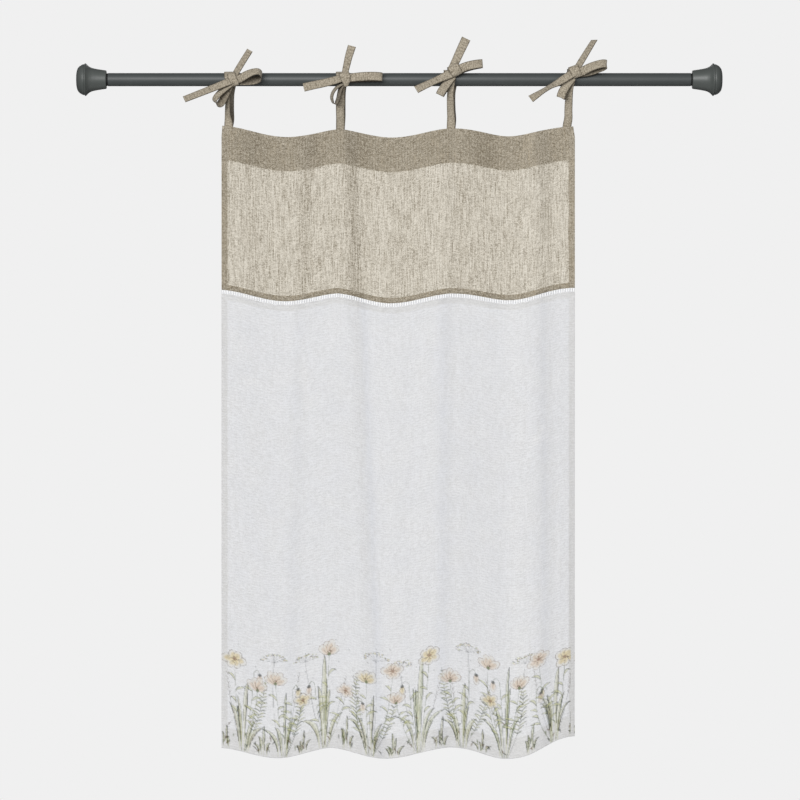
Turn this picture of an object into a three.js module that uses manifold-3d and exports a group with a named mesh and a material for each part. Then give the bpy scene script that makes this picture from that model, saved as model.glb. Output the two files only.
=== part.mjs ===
import * as THREE from "three";
import { mergeVertices } from "three/addons/utils/BufferGeometryUtils.js";
import Module from "manifold-3d";

const wasm = await Module();
wasm.setup();

// A cafe curtain tied to a tension rod. Millimetres, X along the rod to the right, Z up, front towards -Y.
// The origin is the middle of the left end pad's flat face.

// Rod
const rodLength = 1080;
const tubeRadius = 11;
const tubeWall = 1;
const capLength = 50;
const collarLength = 2.5;
const plugCollarRadius = 10.5;
const plugInTube = 26;
const plugInCap = 22;
const fitGap = 0.3;
const rodSides = 36;

// Curtain
const curtainLeft = 242.7;
const curtainWidth = 591;
const clothThickness = 1.2;
const hemExtra = 0.8;
const hemStep = 0.6;
const linenDrop = 274;
const headingHem = 57;
const sideHem = 10;
const linenBottomHem = 9;
const trimDrop = 5.8;
const seamGap = 0.3;
const whiteDrop = 755.6;
const whiteTopHem = 10;
const whiteBottomHem = 34;
const whiteTop = linenDrop + trimDrop + 2 * seamGap;
const fullDrop = whiteTop + whiteDrop;
const acrossStep = 9.7;

// Ties
const tapeWidth = 14.5;
const tapeThickness = 1.6;
const tieSeat = 14;
const tieGap = 0.75;
const knotWide = 19;
const knotTall = 15;
const knotDeep = 8;
const knotForward = 19;
const knotCorner = 3;
const knotBevel = 1.5;
const strapLean = 0.25;
const strapBow = 38;
const strapFree = 6;
const strapBend = 18;
const strapOver = 144;
const endStops = 4;
const loopStops = 12;
const loopFrom = 0.06;

// The sags from left to right: high where a tie holds the cloth, low between ties. Each row says how far
// the line lies below its level place at the top edge, at the seam and at the hem.
// across is the distance from the left edge, drift how far the line moves sideways on its way down,
// sharp how narrow the dip after it is.
const sagRows = [
  { across: 0, drift: 0, atHeading: 77.5, atSeam: 77.9, atHem: 81.9, held: true, sharp: 1 },
  { across: 112, drift: -18, atHeading: 96.4, atSeam: 97.2, atHem: 99, held: false, sharp: 1 },
  { across: 197.5, drift: -14, atHeading: 82.8, atSeam: 83.9, atHem: 81.6, held: true, sharp: 1 },
  { across: 286, drift: -12, atHeading: 96.7, atSeam: 100.5, atHem: 100.4, held: false, sharp: 1 },
  { across: 384.5, drift: -5, atHeading: 81.8, atSeam: 84.2, atHem: 81, held: true, sharp: 1.5 },
  { across: 482, drift: -6, atHeading: 94.9, atSeam: 95.3, atHem: 101.1, held: false, sharp: 1.5 },
  { across: 591, drift: 0, atHeading: 78.6, atSeam: 79, atHem: 79.8, held: true, sharp: 1 },
];

// The folds from left to right: how far the cloth stands forward at the heading, the seam and the hem.
const foldRows = [
  { across: 0, drift: 0, atHeading: 7, atSeam: 6, atHem: 6 },
  { across: 28, drift: 0, atHeading: 11, atSeam: 8, atHem: 6 },
  { across: 78, drift: 0, atHeading: 1, atSeam: 4, atHem: 6 },
  { across: 127, drift: -28, atHeading: 7, atSeam: 6, atHem: 7 },
  { across: 161, drift: -28, atHeading: -3, atSeam: 1.5, atHem: 4 },
  { across: 199, drift: 40, atHeading: 1, atSeam: 4, atHem: 6 },
  { across: 231, drift: 40, atHeading: -10, atSeam: -5, atHem: 1 },
  { across: 300, drift: 20, atHeading: -1, atSeam: 0, atHem: 4 },
  { across: 368, drift: -4, atHeading: 9, atSeam: 8, atHem: 9 },
  { across: 394, drift: 0, atHeading: 4, atSeam: 3.5, atHem: 6 },
  { across: 430, drift: 8, atHeading: 1.5, atSeam: 1, atHem: 1 },
  { across: 464, drift: 14, atHeading: -1, atSeam: -0.5, atHem: -2 },
  { across: 519, drift: 6, atHeading: 10, atSeam: 9, atHem: 10 },
  { across: 559, drift: 6, atHeading: -2, atSeam: 1, atHem: 2 },
  { across: 578, drift: 0, atHeading: 1, atSeam: 1, atHem: 0 },
  { across: 591, drift: 0, atHeading: 3, atSeam: 2, atHem: -5 },
];
const seamShare = 0.268;

// The top corners are drawn in by their ties, over a short way across and down.
const cornerInLeft = 1.3;
const cornerInRight = 2.6;
const cornerWide = 40;
const cornerDrop = 20;

// The right side hem is drawn up a little, so its corner hangs higher than the left one.
const sideTakeUp = 0.016;
const takeUpWidth = 90;

// Each tie: where its tape leaves the heading, its knot, its two free ends and its two loops.
// turn is the knot's slope, roll how far a tape or loop is turned from facing the front, twist how much
// further it turns half way along, all in degrees. fromX and fromZ say where an end leaves the knot.
const tieRows = [
  {
    name: "tie_1",
    strap: 254.3,
    backShift: 2.6,
    knot: { x: 263, z: -0.5, turn: 18 },
    upEnd: { x: 290, z: 49.3, fromX: -1.7, fromZ: 5.8, roll: 40, twist: 0, forward: 3, bow: 0 },
    sideEnd: { x: 180, z: -33, roll: -12, twist: 0, forward: 10, bow: 1 },
    sideLoop: { x: 311, z: 5.5, open: 27, roll: 36, forward: 16 },
    lowLoop: { x: 230, z: -40, open: 19, roll: -37, forward: 4 },
  },
  {
    name: "tie_2",
    strap: 440.9,
    backShift: 0.4,
    knot: { x: 449, z: 0.5, turn: 8 },
    upEnd: { x: 461.5, z: 56.6, fromX: -4.7, fromZ: 3.5, roll: 15, twist: 0, forward: 3, bow: -1 },
    sideEnd: { x: 379.6, z: -12.9, roll: 0, twist: 0, forward: 9, bow: 2 },
    sideLoop: { x: 511.5, z: 4.7, open: 10, roll: 0, forward: 6 },
    lowLoop: { x: 431, z: -42, open: 15, roll: -72, forward: 3 },
  },
  {
    name: "tie_3",
    strap: 627.3,
    backShift: 1.4,
    knot: { x: 633, z: 13.5, turn: 29 },
    upEnd: { x: 652.6, z: 68.8, fromX: -7.8, fromZ: 0.5, roll: 0, twist: 0, forward: 2, bow: 0 },
    sideEnd: { x: 568.3, z: -16.5, roll: 0, twist: 0, forward: 10, bow: 0 },
    sideLoop: { x: 679, z: 27.1, open: 9, roll: 0, forward: 4 },
    lowLoop: { x: 607.7, z: -25.4, open: 9, roll: -20, forward: 3 },
  },
  {
    name: "tie_4",
    strap: 822.1,
    backShift: 0.6,
    knot: { x: 835, z: 12, turn: 28 },
    upEnd: { x: 865.4, z: 64.6, fromX: -1.2, fromZ: 2, roll: 56, twist: -10, forward: 3, bow: 0 },
    sideEnd: { x: 759.5, z: -32.7, roll: -12, twist: -40, forward: 9, bow: -1 },
    sideLoop: { x: 888, z: 27.4, open: 16, roll: 12, forward: 5 },
    lowLoop: { x: 810.3, z: -30, open: 11, roll: -24, forward: 3 },
  },
];

const rodGrey = { color: 0x565a58, roughness: 0.42, metalness: 0.35 };
const capGrey = { color: 0x505452, roughness: 0.4, metalness: 0 };
const plugBlack = { color: 0x1d1f1f, roughness: 0.7, metalness: 0 };
const linenFlax = { color: 0xb5ab97, roughness: 0.95, metalness: 0 };
const tapeFlax = { color: 0xa59b86, roughness: 0.95, metalness: 0 };
const trimWhite = { color: 0xf2f2f0, roughness: 0.9, metalness: 0 };
const panelWhite = { color: 0xe6e6e6, roughness: 0.95, metalness: 0 };

function piece(name, geometry, look) {
  const mesh = new THREE.Mesh(geometry, new THREE.MeshStandardMaterial(look));
  mesh.name = name;
  return mesh;
}

// Turned about the rod's axis; the profile's height runs along +X.
function turned(name, profile, sides, look) {
  const points = profile.map((p) => new THREE.Vector2(p[0], p[1]));
  const mesh = piece(name, new THREE.LatheGeometry(points, sides), look);
  mesh.rotation.z = -Math.PI / 2;
  return mesh;
}

// Half section of an end cap: flat pad, round shoulder, lip, hollow flare, neck and the socket for the plug.
const socketRadius = tubeRadius - tubeWall;
const capProfile = [
  [0, 0],
  [13, 0],
  [18.4, 1.6],
  [22, 5],
  [25, 10],
  [26.2, 13.2],
  [27.2, 14.4],
  [27.2, 15.6],
  [24.4, 18],
  [21.6, 21.2],
  [19.4, 26],
  [17.9, 33],
  [16.6, 41],
  [15.7, 47.6],
  [14.8, 49.6],
  [13.6, capLength],
  [socketRadius, capLength],
  [socketRadius, capLength - plugInCap],
  [0, capLength - plugInCap],
];

// Half section of an end plug: a spigot in the cap, the narrow collar that shows, a spigot in the tube.
const spigotRadius = socketRadius - fitGap;
const collarFrom = capLength + fitGap;
const collarTo = capLength + collarLength - fitGap;
const plugProfile = [
  [0, capLength - plugInCap + fitGap],
  [spigotRadius, capLength - plugInCap + fitGap],
  [spigotRadius, collarFrom],
  [plugCollarRadius, collarFrom],
  [plugCollarRadius, collarTo],
  [spigotRadius, collarTo],
  [spigotRadius, capLength + collarLength + plugInTube],
  [0, capLength + collarLength + plugInTube],
];

const tubeFrom = capLength + collarLength;
const tubeTo = rodLength - tubeFrom;
const tubeProfile = [
  [tubeRadius - tubeWall, tubeFrom],
  [tubeRadius, tubeFrom],
  [tubeRadius, tubeTo],
  [tubeRadius - tubeWall, tubeTo],
  [tubeRadius - tubeWall, tubeFrom],
];

const rod = new THREE.Group();
rod.add(turned("rod_tube", tubeProfile, rodSides, rodGrey));

const leftEnd = new THREE.Group();
leftEnd.add(turned("end_cap_left", capProfile, rodSides, capGrey));
leftEnd.add(turned("end_plug_left", plugProfile, rodSides, plugBlack));
rod.add(leftEnd);

const rightEnd = new THREE.Group();
rightEnd.add(turned("end_cap_right", capProfile, rodSides, capGrey));
rightEnd.add(turned("end_plug_right", plugProfile, rodSides, plugBlack));
rightEnd.position.x = rodLength;
rightEnd.rotation.z = Math.PI;
rod.add(rightEnd);

// The two rows that a place lies between, and how far along it is from the first to the second.
function between(rows, across, down) {
  const share = down / fullDrop;
  const place = (row) => row.across + row.drift * share;
  let i = 0;
  while (i < rows.length - 2 && across > place(rows[i + 1])) {
    i += 1;
  }
  const from = place(rows[i]);
  const to = place(rows[i + 1]);
  const along = THREE.MathUtils.clamp((across - from) / (to - from), 0, 1);
  return { first: rows[i], second: rows[i + 1], along, share };
}

const softStep = (t) => t * t * (3 - 2 * t);
const near = (gap, reach) => softStep(THREE.MathUtils.clamp(1 - gap / reach, 0, 1));

// A row's size at a height, between its sizes at the heading, the seam and the hem.
function sizeAt(row, share) {
  const top = THREE.MathUtils.clamp(share / seamShare, 0, 1);
  const low = THREE.MathUtils.clamp((share - seamShare) / (1 - seamShare), 0, 1);
  return row.atHeading + (row.atSeam - row.atHeading) * top + (row.atHem - row.atSeam) * low;
}

// How far a line of the cloth lies below its level place: steep beside a tie, level in the middle of a sag.
function sagAt(across, down) {
  const { first, second, along, share } = between(sagRows, across, down);
  const fromTie = first.held ? along : 1 - along;
  const fall = 0.25 * Math.sin((fromTie * Math.PI) / 2) + 0.75 * softStep(fromTie);
  const high = sizeAt(first.held ? first : second, share);
  const low = sizeAt(first.held ? second : first, share);
  return THREE.MathUtils.lerp(high, low, fall ** first.sharp);
}

function foldAt(across, down) {
  const { first, second, along, share } = between(foldRows, across, down);
  return THREE.MathUtils.lerp(sizeAt(first, share), sizeAt(second, share), softStep(along));
}

// The middle of the cloth at a distance across from the left edge and down from the top edge.
function clothPoint(across, down) {
  const takenUp = sideTakeUp * near(curtainWidth - across, takeUpWidth) * down;
  const z = takenUp - sagAt(across, down) - down;
  const inLeft = cornerInLeft * near(across, cornerWide);
  const inRight = cornerInRight * near(curtainWidth - across, cornerWide);
  const x = curtainLeft + across + (inLeft - inRight) * near(down, cornerDrop);
  return new THREE.Vector3(x, -foldAt(across, down), z);
}

function clothFront(across, down) {
  const probe = 1.5;
  const left = clothPoint(across - probe, down);
  const right = clothPoint(across + probe, down);
  const up = clothPoint(across, down - probe);
  const low = clothPoint(across, down + probe);
  return right.sub(left).cross(up.sub(low)).normalize();
}

// Evenly spaced lines from one place to another, ends included.
function lines(from, to, step) {
  const count = Math.max(1, Math.round((to - from) / step));
  return Array.from({ length: count + 1 }, (_, i) => from + ((to - from) * i) / count);
}

// A grid of front points and back points with a rim all round, as one closed sheet.
function closedSheet(front, back) {
  const rows = front.length;
  const columns = front[0].length;
  const points = [...front.flat(), ...back.flat()];
  const offset = rows * columns;
  const index = [];
  const quad = (a, b, c, d) => index.push(a, b, c, a, c, d);
  const at = (r, c) => r * columns + c;
  for (let r = 0; r < rows - 1; r += 1) {
    for (let c = 0; c < columns - 1; c += 1) {
      quad(at(r, c), at(r + 1, c), at(r + 1, c + 1), at(r, c + 1));
      quad(
        offset + at(r, c),
        offset + at(r, c + 1),
        offset + at(r + 1, c + 1),
        offset + at(r + 1, c),
      );
    }
  }
  for (let c = 0; c < columns - 1; c += 1) {
    quad(at(0, c), at(0, c + 1), offset + at(0, c + 1), offset + at(0, c));
    const r = rows - 1;
    quad(at(r, c + 1), at(r, c), offset + at(r, c), offset + at(r, c + 1));
  }
  for (let r = 0; r < rows - 1; r += 1) {
    quad(at(r + 1, 0), at(r, 0), offset + at(r, 0), offset + at(r + 1, 0));
    const c = columns - 1;
    quad(at(r, c), at(r + 1, c), offset + at(r + 1, c), offset + at(r, c));
  }
  const geometry = new THREE.BufferGeometry().setFromPoints(points);
  geometry.setIndex(index);
  return geometry;
}

// Every panel shares these lines across, so that the seams between them fit.
const acrossLines = [
  0,
  sideHem,
  sideHem + hemStep,
  ...lines(sideHem + 8, curtainWidth - sideHem - 8, acrossStep),
  curtainWidth - sideHem - hemStep,
  curtainWidth - sideHem,
  curtainWidth,
];

// A panel of the curtain between two heights, thicker to the back where its hems are turned.
function panel(name, from, drop, hems, rowStep, look) {
  const bodyFrom = hems.top ? hems.top + hemStep : 0;
  const bodyTo = hems.bottom ? drop - hems.bottom - hemStep : drop;
  const downLines = [
    ...(hems.top ? [0, hems.top] : []),
    ...lines(bodyFrom, bodyTo, rowStep),
    ...(hems.bottom ? [drop - hems.bottom, drop] : []),
  ];
  const inHem = (across, down) =>
    across < hems.side + hemStep / 2 ||
    across > curtainWidth - hems.side - hemStep / 2 ||
    down < hems.top + hemStep / 2 ||
    down > drop - hems.bottom - hemStep / 2;
  const row = (down, offset) =>
    acrossLines.map((across) => {
      const point = clothPoint(across, from + down);
      return point.addScaledVector(clothFront(across, from + down), offset(across, down));
    });
  const front = downLines.map((down) => row(down, () => clothThickness / 2));
  const back = downLines.map((down) =>
    row(down, (a, d) => -clothThickness / 2 - (inHem(a, d) ? hemExtra : 0)),
  );
  return piece(name, closedSheet(front, back), look);
}

const linenHems = { top: headingHem, side: sideHem, bottom: linenBottomHem };
const trimHems = { top: 0, side: 0, bottom: 0 };
const whiteHems = { top: whiteTopHem, side: sideHem, bottom: whiteBottomHem };
const curtain = new THREE.Group();
curtain.add(panel("linen_panel", 0, linenDrop, linenHems, 52, linenFlax));
curtain.add(panel("ladder_trim", linenDrop + seamGap, trimDrop, trimHems, trimDrop, trimWhite));
curtain.add(panel("white_panel", whiteTop, whiteDrop, whiteHems, 71, panelWhite));

function asSolid(geometry) {
  const bare = geometry.clone();
  bare.deleteAttribute("normal");
  bare.deleteAttribute("uv");
  const merged = mergeVertices(bare, 1e-4);
  const mesh = new wasm.Mesh({
    numProp: 3,
    vertProperties: new Float32Array(merged.attributes.position.array),
    triVerts: new Uint32Array(merged.index.array),
  });
  return new wasm.Manifold(mesh);
}

function asGeometry(solid) {
  const mesh = solid.getMesh();
  const geometry = new THREE.BufferGeometry();
  geometry.setAttribute("position", new THREE.BufferAttribute(mesh.vertProperties, 3));
  geometry.setIndex(new THREE.BufferAttribute(mesh.triVerts, 1));
  return geometry;
}

// Tape along a path; each stop has its point, its width direction and its share of the full width.
function tape(stops) {
  const ahead = (i) => stops[Math.min(i + 1, stops.length - 1)].point;
  const behind = (i) => stops[Math.max(i - 1, 0)].point;
  const corner = (stop, i, side, face) => {
    const along = ahead(i).clone().sub(behind(i)).normalize();
    const out = along.clone().cross(stop.width).normalize();
    const wide = (tapeWidth / 2) * (stop.share ?? 1);
    return stop.point
      .clone()
      .addScaledVector(stop.width, side * wide)
      .addScaledVector(out, (face * tapeThickness) / 2);
  };
  const front = stops.map((stop, i) => [corner(stop, i, -1, 1), corner(stop, i, 1, 1)]);
  const back = stops.map((stop, i) => [corner(stop, i, -1, -1), corner(stop, i, 1, -1)]);
  return asSolid(closedSheet(front, back));
}

const forwards = new THREE.Vector3(0, -1, 0);
const sideways = new THREE.Vector3(1, 0, 0);

// The face and the width direction of a tape that runs one way and is rolled from facing the front.
function rolled(along, degrees) {
  const roll = THREE.MathUtils.degToRad(degrees);
  const level = along.clone().cross(forwards);
  const face = forwards.clone().multiplyScalar(Math.cos(roll));
  face.addScaledVector(level, -Math.sin(roll));
  const width = along.clone().cross(face).normalize();
  return { face, width };
}

// A tape is gathered where the knot grips it and comes to its full width a little way out.
const gathered = (out) => Math.min(1, 0.7 + 1.9 * out);

function leaving(knot, end, depth) {
  const start = new THREE.Vector3(knot.x + (end.fromX ?? 0), -depth, knot.z + (end.fromZ ?? 0));
  const tip = new THREE.Vector3(end.x, -depth - end.forward, end.z);
  const along = tip.clone().sub(start).setY(0).normalize();
  return { start, tip, along };
}

function freeEnd(knot, end, depth) {
  const { start, tip, along } = leaving(knot, end, depth);
  const stops = lines(0, 1, 1 / endStops).map((t) => {
    const point = start.clone().lerp(tip, t);
    point.z += end.bow * Math.sin(Math.PI * t);
    const { width } = rolled(along, end.roll + end.twist * Math.sin(Math.PI * t));
    return { point, width, share: gathered(t) };
  });
  return tape(stops);
}

// A loop goes out to its end on one side and comes back on the other, like a drop.
function bowLoop(knot, end, depth) {
  const { start, tip, along } = leaving(knot, end, depth);
  const { face, width } = rolled(along, end.roll);
  const dropWidest = 0.77;
  const stops = lines(loopFrom, 1 - loopFrom, 1 / loopStops).map((t) => {
    const angle = 2 * Math.PI * t;
    const out = (1 - Math.cos(angle)) / 2;
    const aside = (Math.sin(angle) * Math.sin(angle / 2)) / dropWidest;
    const point = start.clone().lerp(tip, out);
    point.addScaledVector(face, (end.open / 2) * aside);
    return { point, width, share: gathered(out) };
  });
  return tape(stops);
}

function strapStop(x, y, z, share) {
  return { point: new THREE.Vector3(x, y, z), width: sideways, share };
}

// The two tapes sewn behind the heading: one goes up in front of the rod, the other behind and over it.
function straps(row) {
  const across = row.strap - curtainLeft;
  const behind = clothThickness / 2 + hemExtra + tieGap + tapeThickness / 2;
  const sewn = (down) => {
    const [left, point, right] = [-0.5, 0, 0.5].map((k) => clothPoint(across + k * tapeWidth, down));
    const width = right.clone().sub(left).setZ(0).normalize();
    const backward = new THREE.Vector3(-width.y, width.x, 0);
    const deepest = Math.max(0, left.sub(point).dot(backward), right.sub(point).dot(backward));
    return { point: point.addScaledVector(backward, deepest + behind), width };
  };
  const seat = [sewn(tieSeat), sewn(0)];
  const top = seat[1].point;
  const knot = row.knot;
  const middle = THREE.MathUtils.lerp(row.strap, knot.x, strapLean);
  const shifted = row.strap + row.backShift;
  const halfBend = THREE.MathUtils.degToRad(strapBend / 2);
  const clear = (tubeRadius + fitGap) / Math.cos(halfBend) + tapeThickness / 2;
  const front = [
    ...seat,
    strapStop(row.strap, top.y - 1, top.z + strapFree),
    strapStop(row.strap, -clear * 0.6, -strapBow),
    strapStop(middle, -clear - fitGap, -tubeRadius, 0.8),
    strapStop(middle, -clear - fitGap, knot.z, 0.7),
  ];
  const over = lines(-strapBend, strapOver, strapBend).map((degrees) => {
    const turn = THREE.MathUtils.degToRad(degrees);
    const x = THREE.MathUtils.lerp(shifted, middle, Math.max(0, degrees) / strapOver);
    return strapStop(x, clear * Math.cos(turn), clear * Math.sin(turn));
  });
  const back = [
    ...seat,
    strapStop(row.strap, top.y + 1, top.z + strapFree),
    strapStop(shifted, clear * 0.75, -strapBow),
    ...over,
    strapStop(middle, -clear - tapeThickness, Math.min(knot.z, tubeRadius / 2)),
  ];
  return [tape(front), tape(back)];
}

function knotBlock(knot) {
  const wide = knotWide / 2;
  const tall = knotTall / 2;
  const outline = new THREE.Shape();
  outline.moveTo(knotCorner - wide, -tall);
  outline.lineTo(wide - knotCorner, -tall);
  outline.lineTo(wide, knotCorner - tall);
  outline.lineTo(wide, tall - knotCorner);
  outline.lineTo(wide - knotCorner, tall);
  outline.lineTo(knotCorner - wide, tall);
  outline.lineTo(-wide, tall - knotCorner);
  outline.lineTo(-wide, knotCorner - tall);
  outline.closePath();
  const block = new THREE.ExtrudeGeometry(outline, {
    depth: knotDeep - 2 * knotBevel,
    bevelThickness: knotBevel,
    bevelSize: knotBevel,
    bevelOffset: -knotBevel,
    bevelSegments: 1,
  });
  block.translate(0, 0, knotBevel - knotDeep / 2);
  block.rotateX(Math.PI / 2);
  block.rotateY(THREE.MathUtils.degToRad(-knot.turn));
  block.translate(knot.x, -knotForward, knot.z);
  return asSolid(block);
}

function tie(row) {
  const tapes = [
    ...straps(row),
    freeEnd(row.knot, row.upEnd, knotForward - 2 * tapeThickness),
    freeEnd(row.knot, row.sideEnd, knotForward + tapeThickness),
    bowLoop(row.knot, row.sideLoop, knotForward),
    bowLoop(row.knot, row.lowLoop, knotForward),
  ];
  const whole = tapes.reduce((sum, next) => sum.add(next), knotBlock(row.knot));
  return piece(row.name, asGeometry(whole), tapeFlax);
}

const ties = new THREE.Group();
tieRows.forEach((row) => ties.add(tie(row)));

const cafeCurtain = new THREE.Group();
cafeCurtain.add(rod, curtain, ties);

export default cafeCurtain;
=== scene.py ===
import math
import bpy
import numpy as np
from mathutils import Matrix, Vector


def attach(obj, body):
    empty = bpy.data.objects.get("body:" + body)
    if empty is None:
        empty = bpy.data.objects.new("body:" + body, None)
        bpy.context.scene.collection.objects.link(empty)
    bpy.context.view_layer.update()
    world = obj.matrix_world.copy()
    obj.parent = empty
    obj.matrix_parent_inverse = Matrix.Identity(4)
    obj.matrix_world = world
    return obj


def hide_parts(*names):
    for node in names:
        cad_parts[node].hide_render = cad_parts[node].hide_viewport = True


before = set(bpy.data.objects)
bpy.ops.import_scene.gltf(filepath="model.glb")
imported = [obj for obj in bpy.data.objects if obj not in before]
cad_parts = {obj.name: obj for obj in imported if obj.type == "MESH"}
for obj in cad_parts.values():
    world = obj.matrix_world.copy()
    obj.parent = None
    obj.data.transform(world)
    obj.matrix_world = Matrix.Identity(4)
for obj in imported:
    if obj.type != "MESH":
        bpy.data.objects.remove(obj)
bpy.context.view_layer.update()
mm = 0.001
print("frame loaded with", len(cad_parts), "nodes")


def linear(code):  # sRGB hex to the linear colour that the shaders take
    parts = [int(code[i:i + 2], 16) / 255 for i in (1, 3, 5)]
    return [p / 12.92 if p <= 0.04045 else ((p + 0.055) / 1.055) ** 2.4 for p in parts] + [1.0]


def addNode(tree, kind, settings=None, inputs=None):
    node = tree.nodes.new(kind)
    for key, value in (settings or {}).items():
        setattr(node, key, value)
    for key, value in (inputs or {}).items():
        if isinstance(value, bpy.types.NodeSocket):
            tree.links.new(value, node.inputs[key])
        else:
            node.inputs[key].default_value = value
    return node


def newMaterial(name):
    material = bpy.data.materials.new(name)
    material.use_nodes = True
    material.node_tree.nodes.clear()
    return material, material.node_tree


def selectOnly(piece):
    bpy.ops.object.select_all(action="DESELECT")
    piece.select_set(True)
    bpy.context.view_layer.objects.active = piece


def softStep(t):
    t = np.clip(t, 0, 1)
    return t * t * (3 - 2 * t)


# Camera, light and floor

studioSet = {
    "middle": (541.1, -536.2),  # what the picture is centred on, across and up, mm
    "distance": 6000,
    "frameWidth": 1339,
    "sensorWidth": 36,
    "clipEnd": 50000,
    "backdrop": "#f0f0f0",
    "ambient": 0.12,
    "keyPlace": (-1000, -6000, 1500),
    "keySize": (5000, 2400),
    "keyPower": 422,
    "fillPlace": (2100, -2300, 100),
    "fillSize": (1500, 1500),
    "fillPower": 12,
    "backPlace": (540, 2600, 600),
    "backSize": (2200, 1800),
    "backPower": 12,
    "floorHeight": -1400,
    "floorFrom": (-500, -600),
    "floorTo": (1600, 800),
}


def areaLamp(name, place, size, power, target):
    data = bpy.data.lights.new(name, "AREA")
    data.shape = "RECTANGLE"
    data.size = size[0] * mm
    data.size_y = size[1] * mm
    data.energy = power
    lamp = bpy.data.objects.new(name, data)
    bpy.context.collection.objects.link(lamp)
    lamp.location = Vector(place) * mm
    lamp.rotation_euler = (target - lamp.location).to_track_quat("-Z", "Y").to_euler()


def buildStudio(s):
    middle = Vector((s["middle"][0], 0, s["middle"][1])) * mm
    data = bpy.data.cameras.new("camera")
    data.sensor_width = s["sensorWidth"]
    data.lens = s["sensorWidth"] * s["distance"] / s["frameWidth"]
    data.clip_end = s["clipEnd"] * mm
    camera = bpy.data.objects.new("camera", data)
    bpy.context.collection.objects.link(camera)
    camera.location = middle - Vector((0, s["distance"] * mm, 0))
    camera.rotation_euler = (math.radians(90), 0, 0)
    bpy.context.scene.camera = camera
    bpy.context.scene.view_settings.view_transform = "Standard"

    world = bpy.data.worlds.new("paleStudio")
    bpy.context.scene.world = world
    world.use_nodes = True
    tree = world.node_tree
    tree.nodes.clear()
    path = addNode(tree, "ShaderNodeLightPath")
    room = addNode(tree, "ShaderNodeBackground",
                   inputs={"Color": (1, 1, 1, 1), "Strength": s["ambient"]})
    seen = addNode(tree, "ShaderNodeBackground",
                   inputs={"Color": linear(s["backdrop"]), "Strength": 1.0})
    both = addNode(tree, "ShaderNodeMixShader", inputs={
        0: path.outputs["Is Camera Ray"], 1: room.outputs[0], 2: seen.outputs[0]})
    addNode(tree, "ShaderNodeOutputWorld", inputs={"Surface": both.outputs[0]})

    for lamp in ("key", "fill", "back"):
        areaLamp(lamp, s[lamp + "Place"], s[lamp + "Size"], s[lamp + "Power"], middle)

    # painted floor board, pale and matte, below the picture
    paint, tree = newMaterial("paleFloorPaint")
    coords = addNode(tree, "ShaderNodeTexCoord")
    mottle = addNode(tree, "ShaderNodeTexNoise", inputs={
        "Vector": coords.outputs["Object"], "Scale": 6, "Detail": 3})
    tone = addNode(tree, "ShaderNodeMix", {"data_type": "RGBA"}, {
        0: mottle.outputs["Fac"], 6: linear("#e9e9e8"), 7: linear("#efefee")})
    flat = addNode(tree, "ShaderNodeBsdfPrincipled", inputs={
        "Base Color": tone.outputs[2], "Roughness": 0.9})
    addNode(tree, "ShaderNodeOutputMaterial", inputs={"Surface": flat.outputs[0]})
    (x0, y0), (x1, y1) = s["floorFrom"], s["floorTo"]
    corners = [(x0, y0), (x1, y0), (x1, y1), (x0, y1)]
    mesh = bpy.data.meshes.new("floor")
    mesh.from_pydata([(x * mm, y * mm, s["floorHeight"] * mm) for x, y in corners], [], [(0, 1, 2, 3)])
    mesh.materials.append(paint)
    floor = bpy.data.objects.new("floor", mesh)
    bpy.context.collection.objects.link(floor)


buildStudio(studioSet)
print("studio ready")


# Rod: painted steel tube, moulded end caps and the black plugs between them

# stoved satin enamel on drawn steel: even grey, soft wide highlight, faint peel
satinEnamel = {
    "grain": 1.2, "grainDetail": 2, "cloud": 30, "cloudDetail": 2,  # sizes, mm
    "dark": "#424646", "light": "#494d4d", "rough": (0.44, 0.52), "bump": 0.12, "ior": 1.48,
}
# ABS from a spark-textured mould: satin grey with a fine grain
mouldedAbs = {
    "grain": 0.6, "grainDetail": 3, "cloud": 18, "cloudDetail": 1,
    "dark": "#4b4f4d", "light": "#525654", "rough": (0.41, 0.49), "bump": 0.18, "ior": 1.53,
}


def satinGrey(name, s):
    material, tree = newMaterial(name)
    coords = addNode(tree, "ShaderNodeTexCoord")
    grain = addNode(tree, "ShaderNodeTexNoise", inputs={
        "Vector": coords.outputs["Object"], "Scale": 1 / (s["grain"] * mm), "Detail": s["grainDetail"]})
    cloud = addNode(tree, "ShaderNodeTexNoise", inputs={
        "Vector": coords.outputs["Object"], "Scale": 1 / (s["cloud"] * mm), "Detail": s["cloudDetail"]})
    tone = addNode(tree, "ShaderNodeMix", {"data_type": "RGBA"}, {
        0: cloud.outputs["Fac"], 6: linear(s["dark"]), 7: linear(s["light"])})
    rough = addNode(tree, "ShaderNodeMapRange", inputs={
        "Value": grain.outputs["Fac"], "To Min": s["rough"][0], "To Max": s["rough"][1]})
    bump = addNode(tree, "ShaderNodeBump", inputs={
        "Strength": s["bump"], "Distance": 0.05 * mm, "Height": grain.outputs["Fac"]})
    shader = addNode(tree, "ShaderNodeBsdfPrincipled", inputs={
        "Base Color": tone.outputs[2], "Roughness": rough.outputs[0],
        "Normal": bump.outputs[0], "IOR": s["ior"]})
    addNode(tree, "ShaderNodeOutputMaterial", inputs={"Surface": shader.outputs[0]})
    return material


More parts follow.
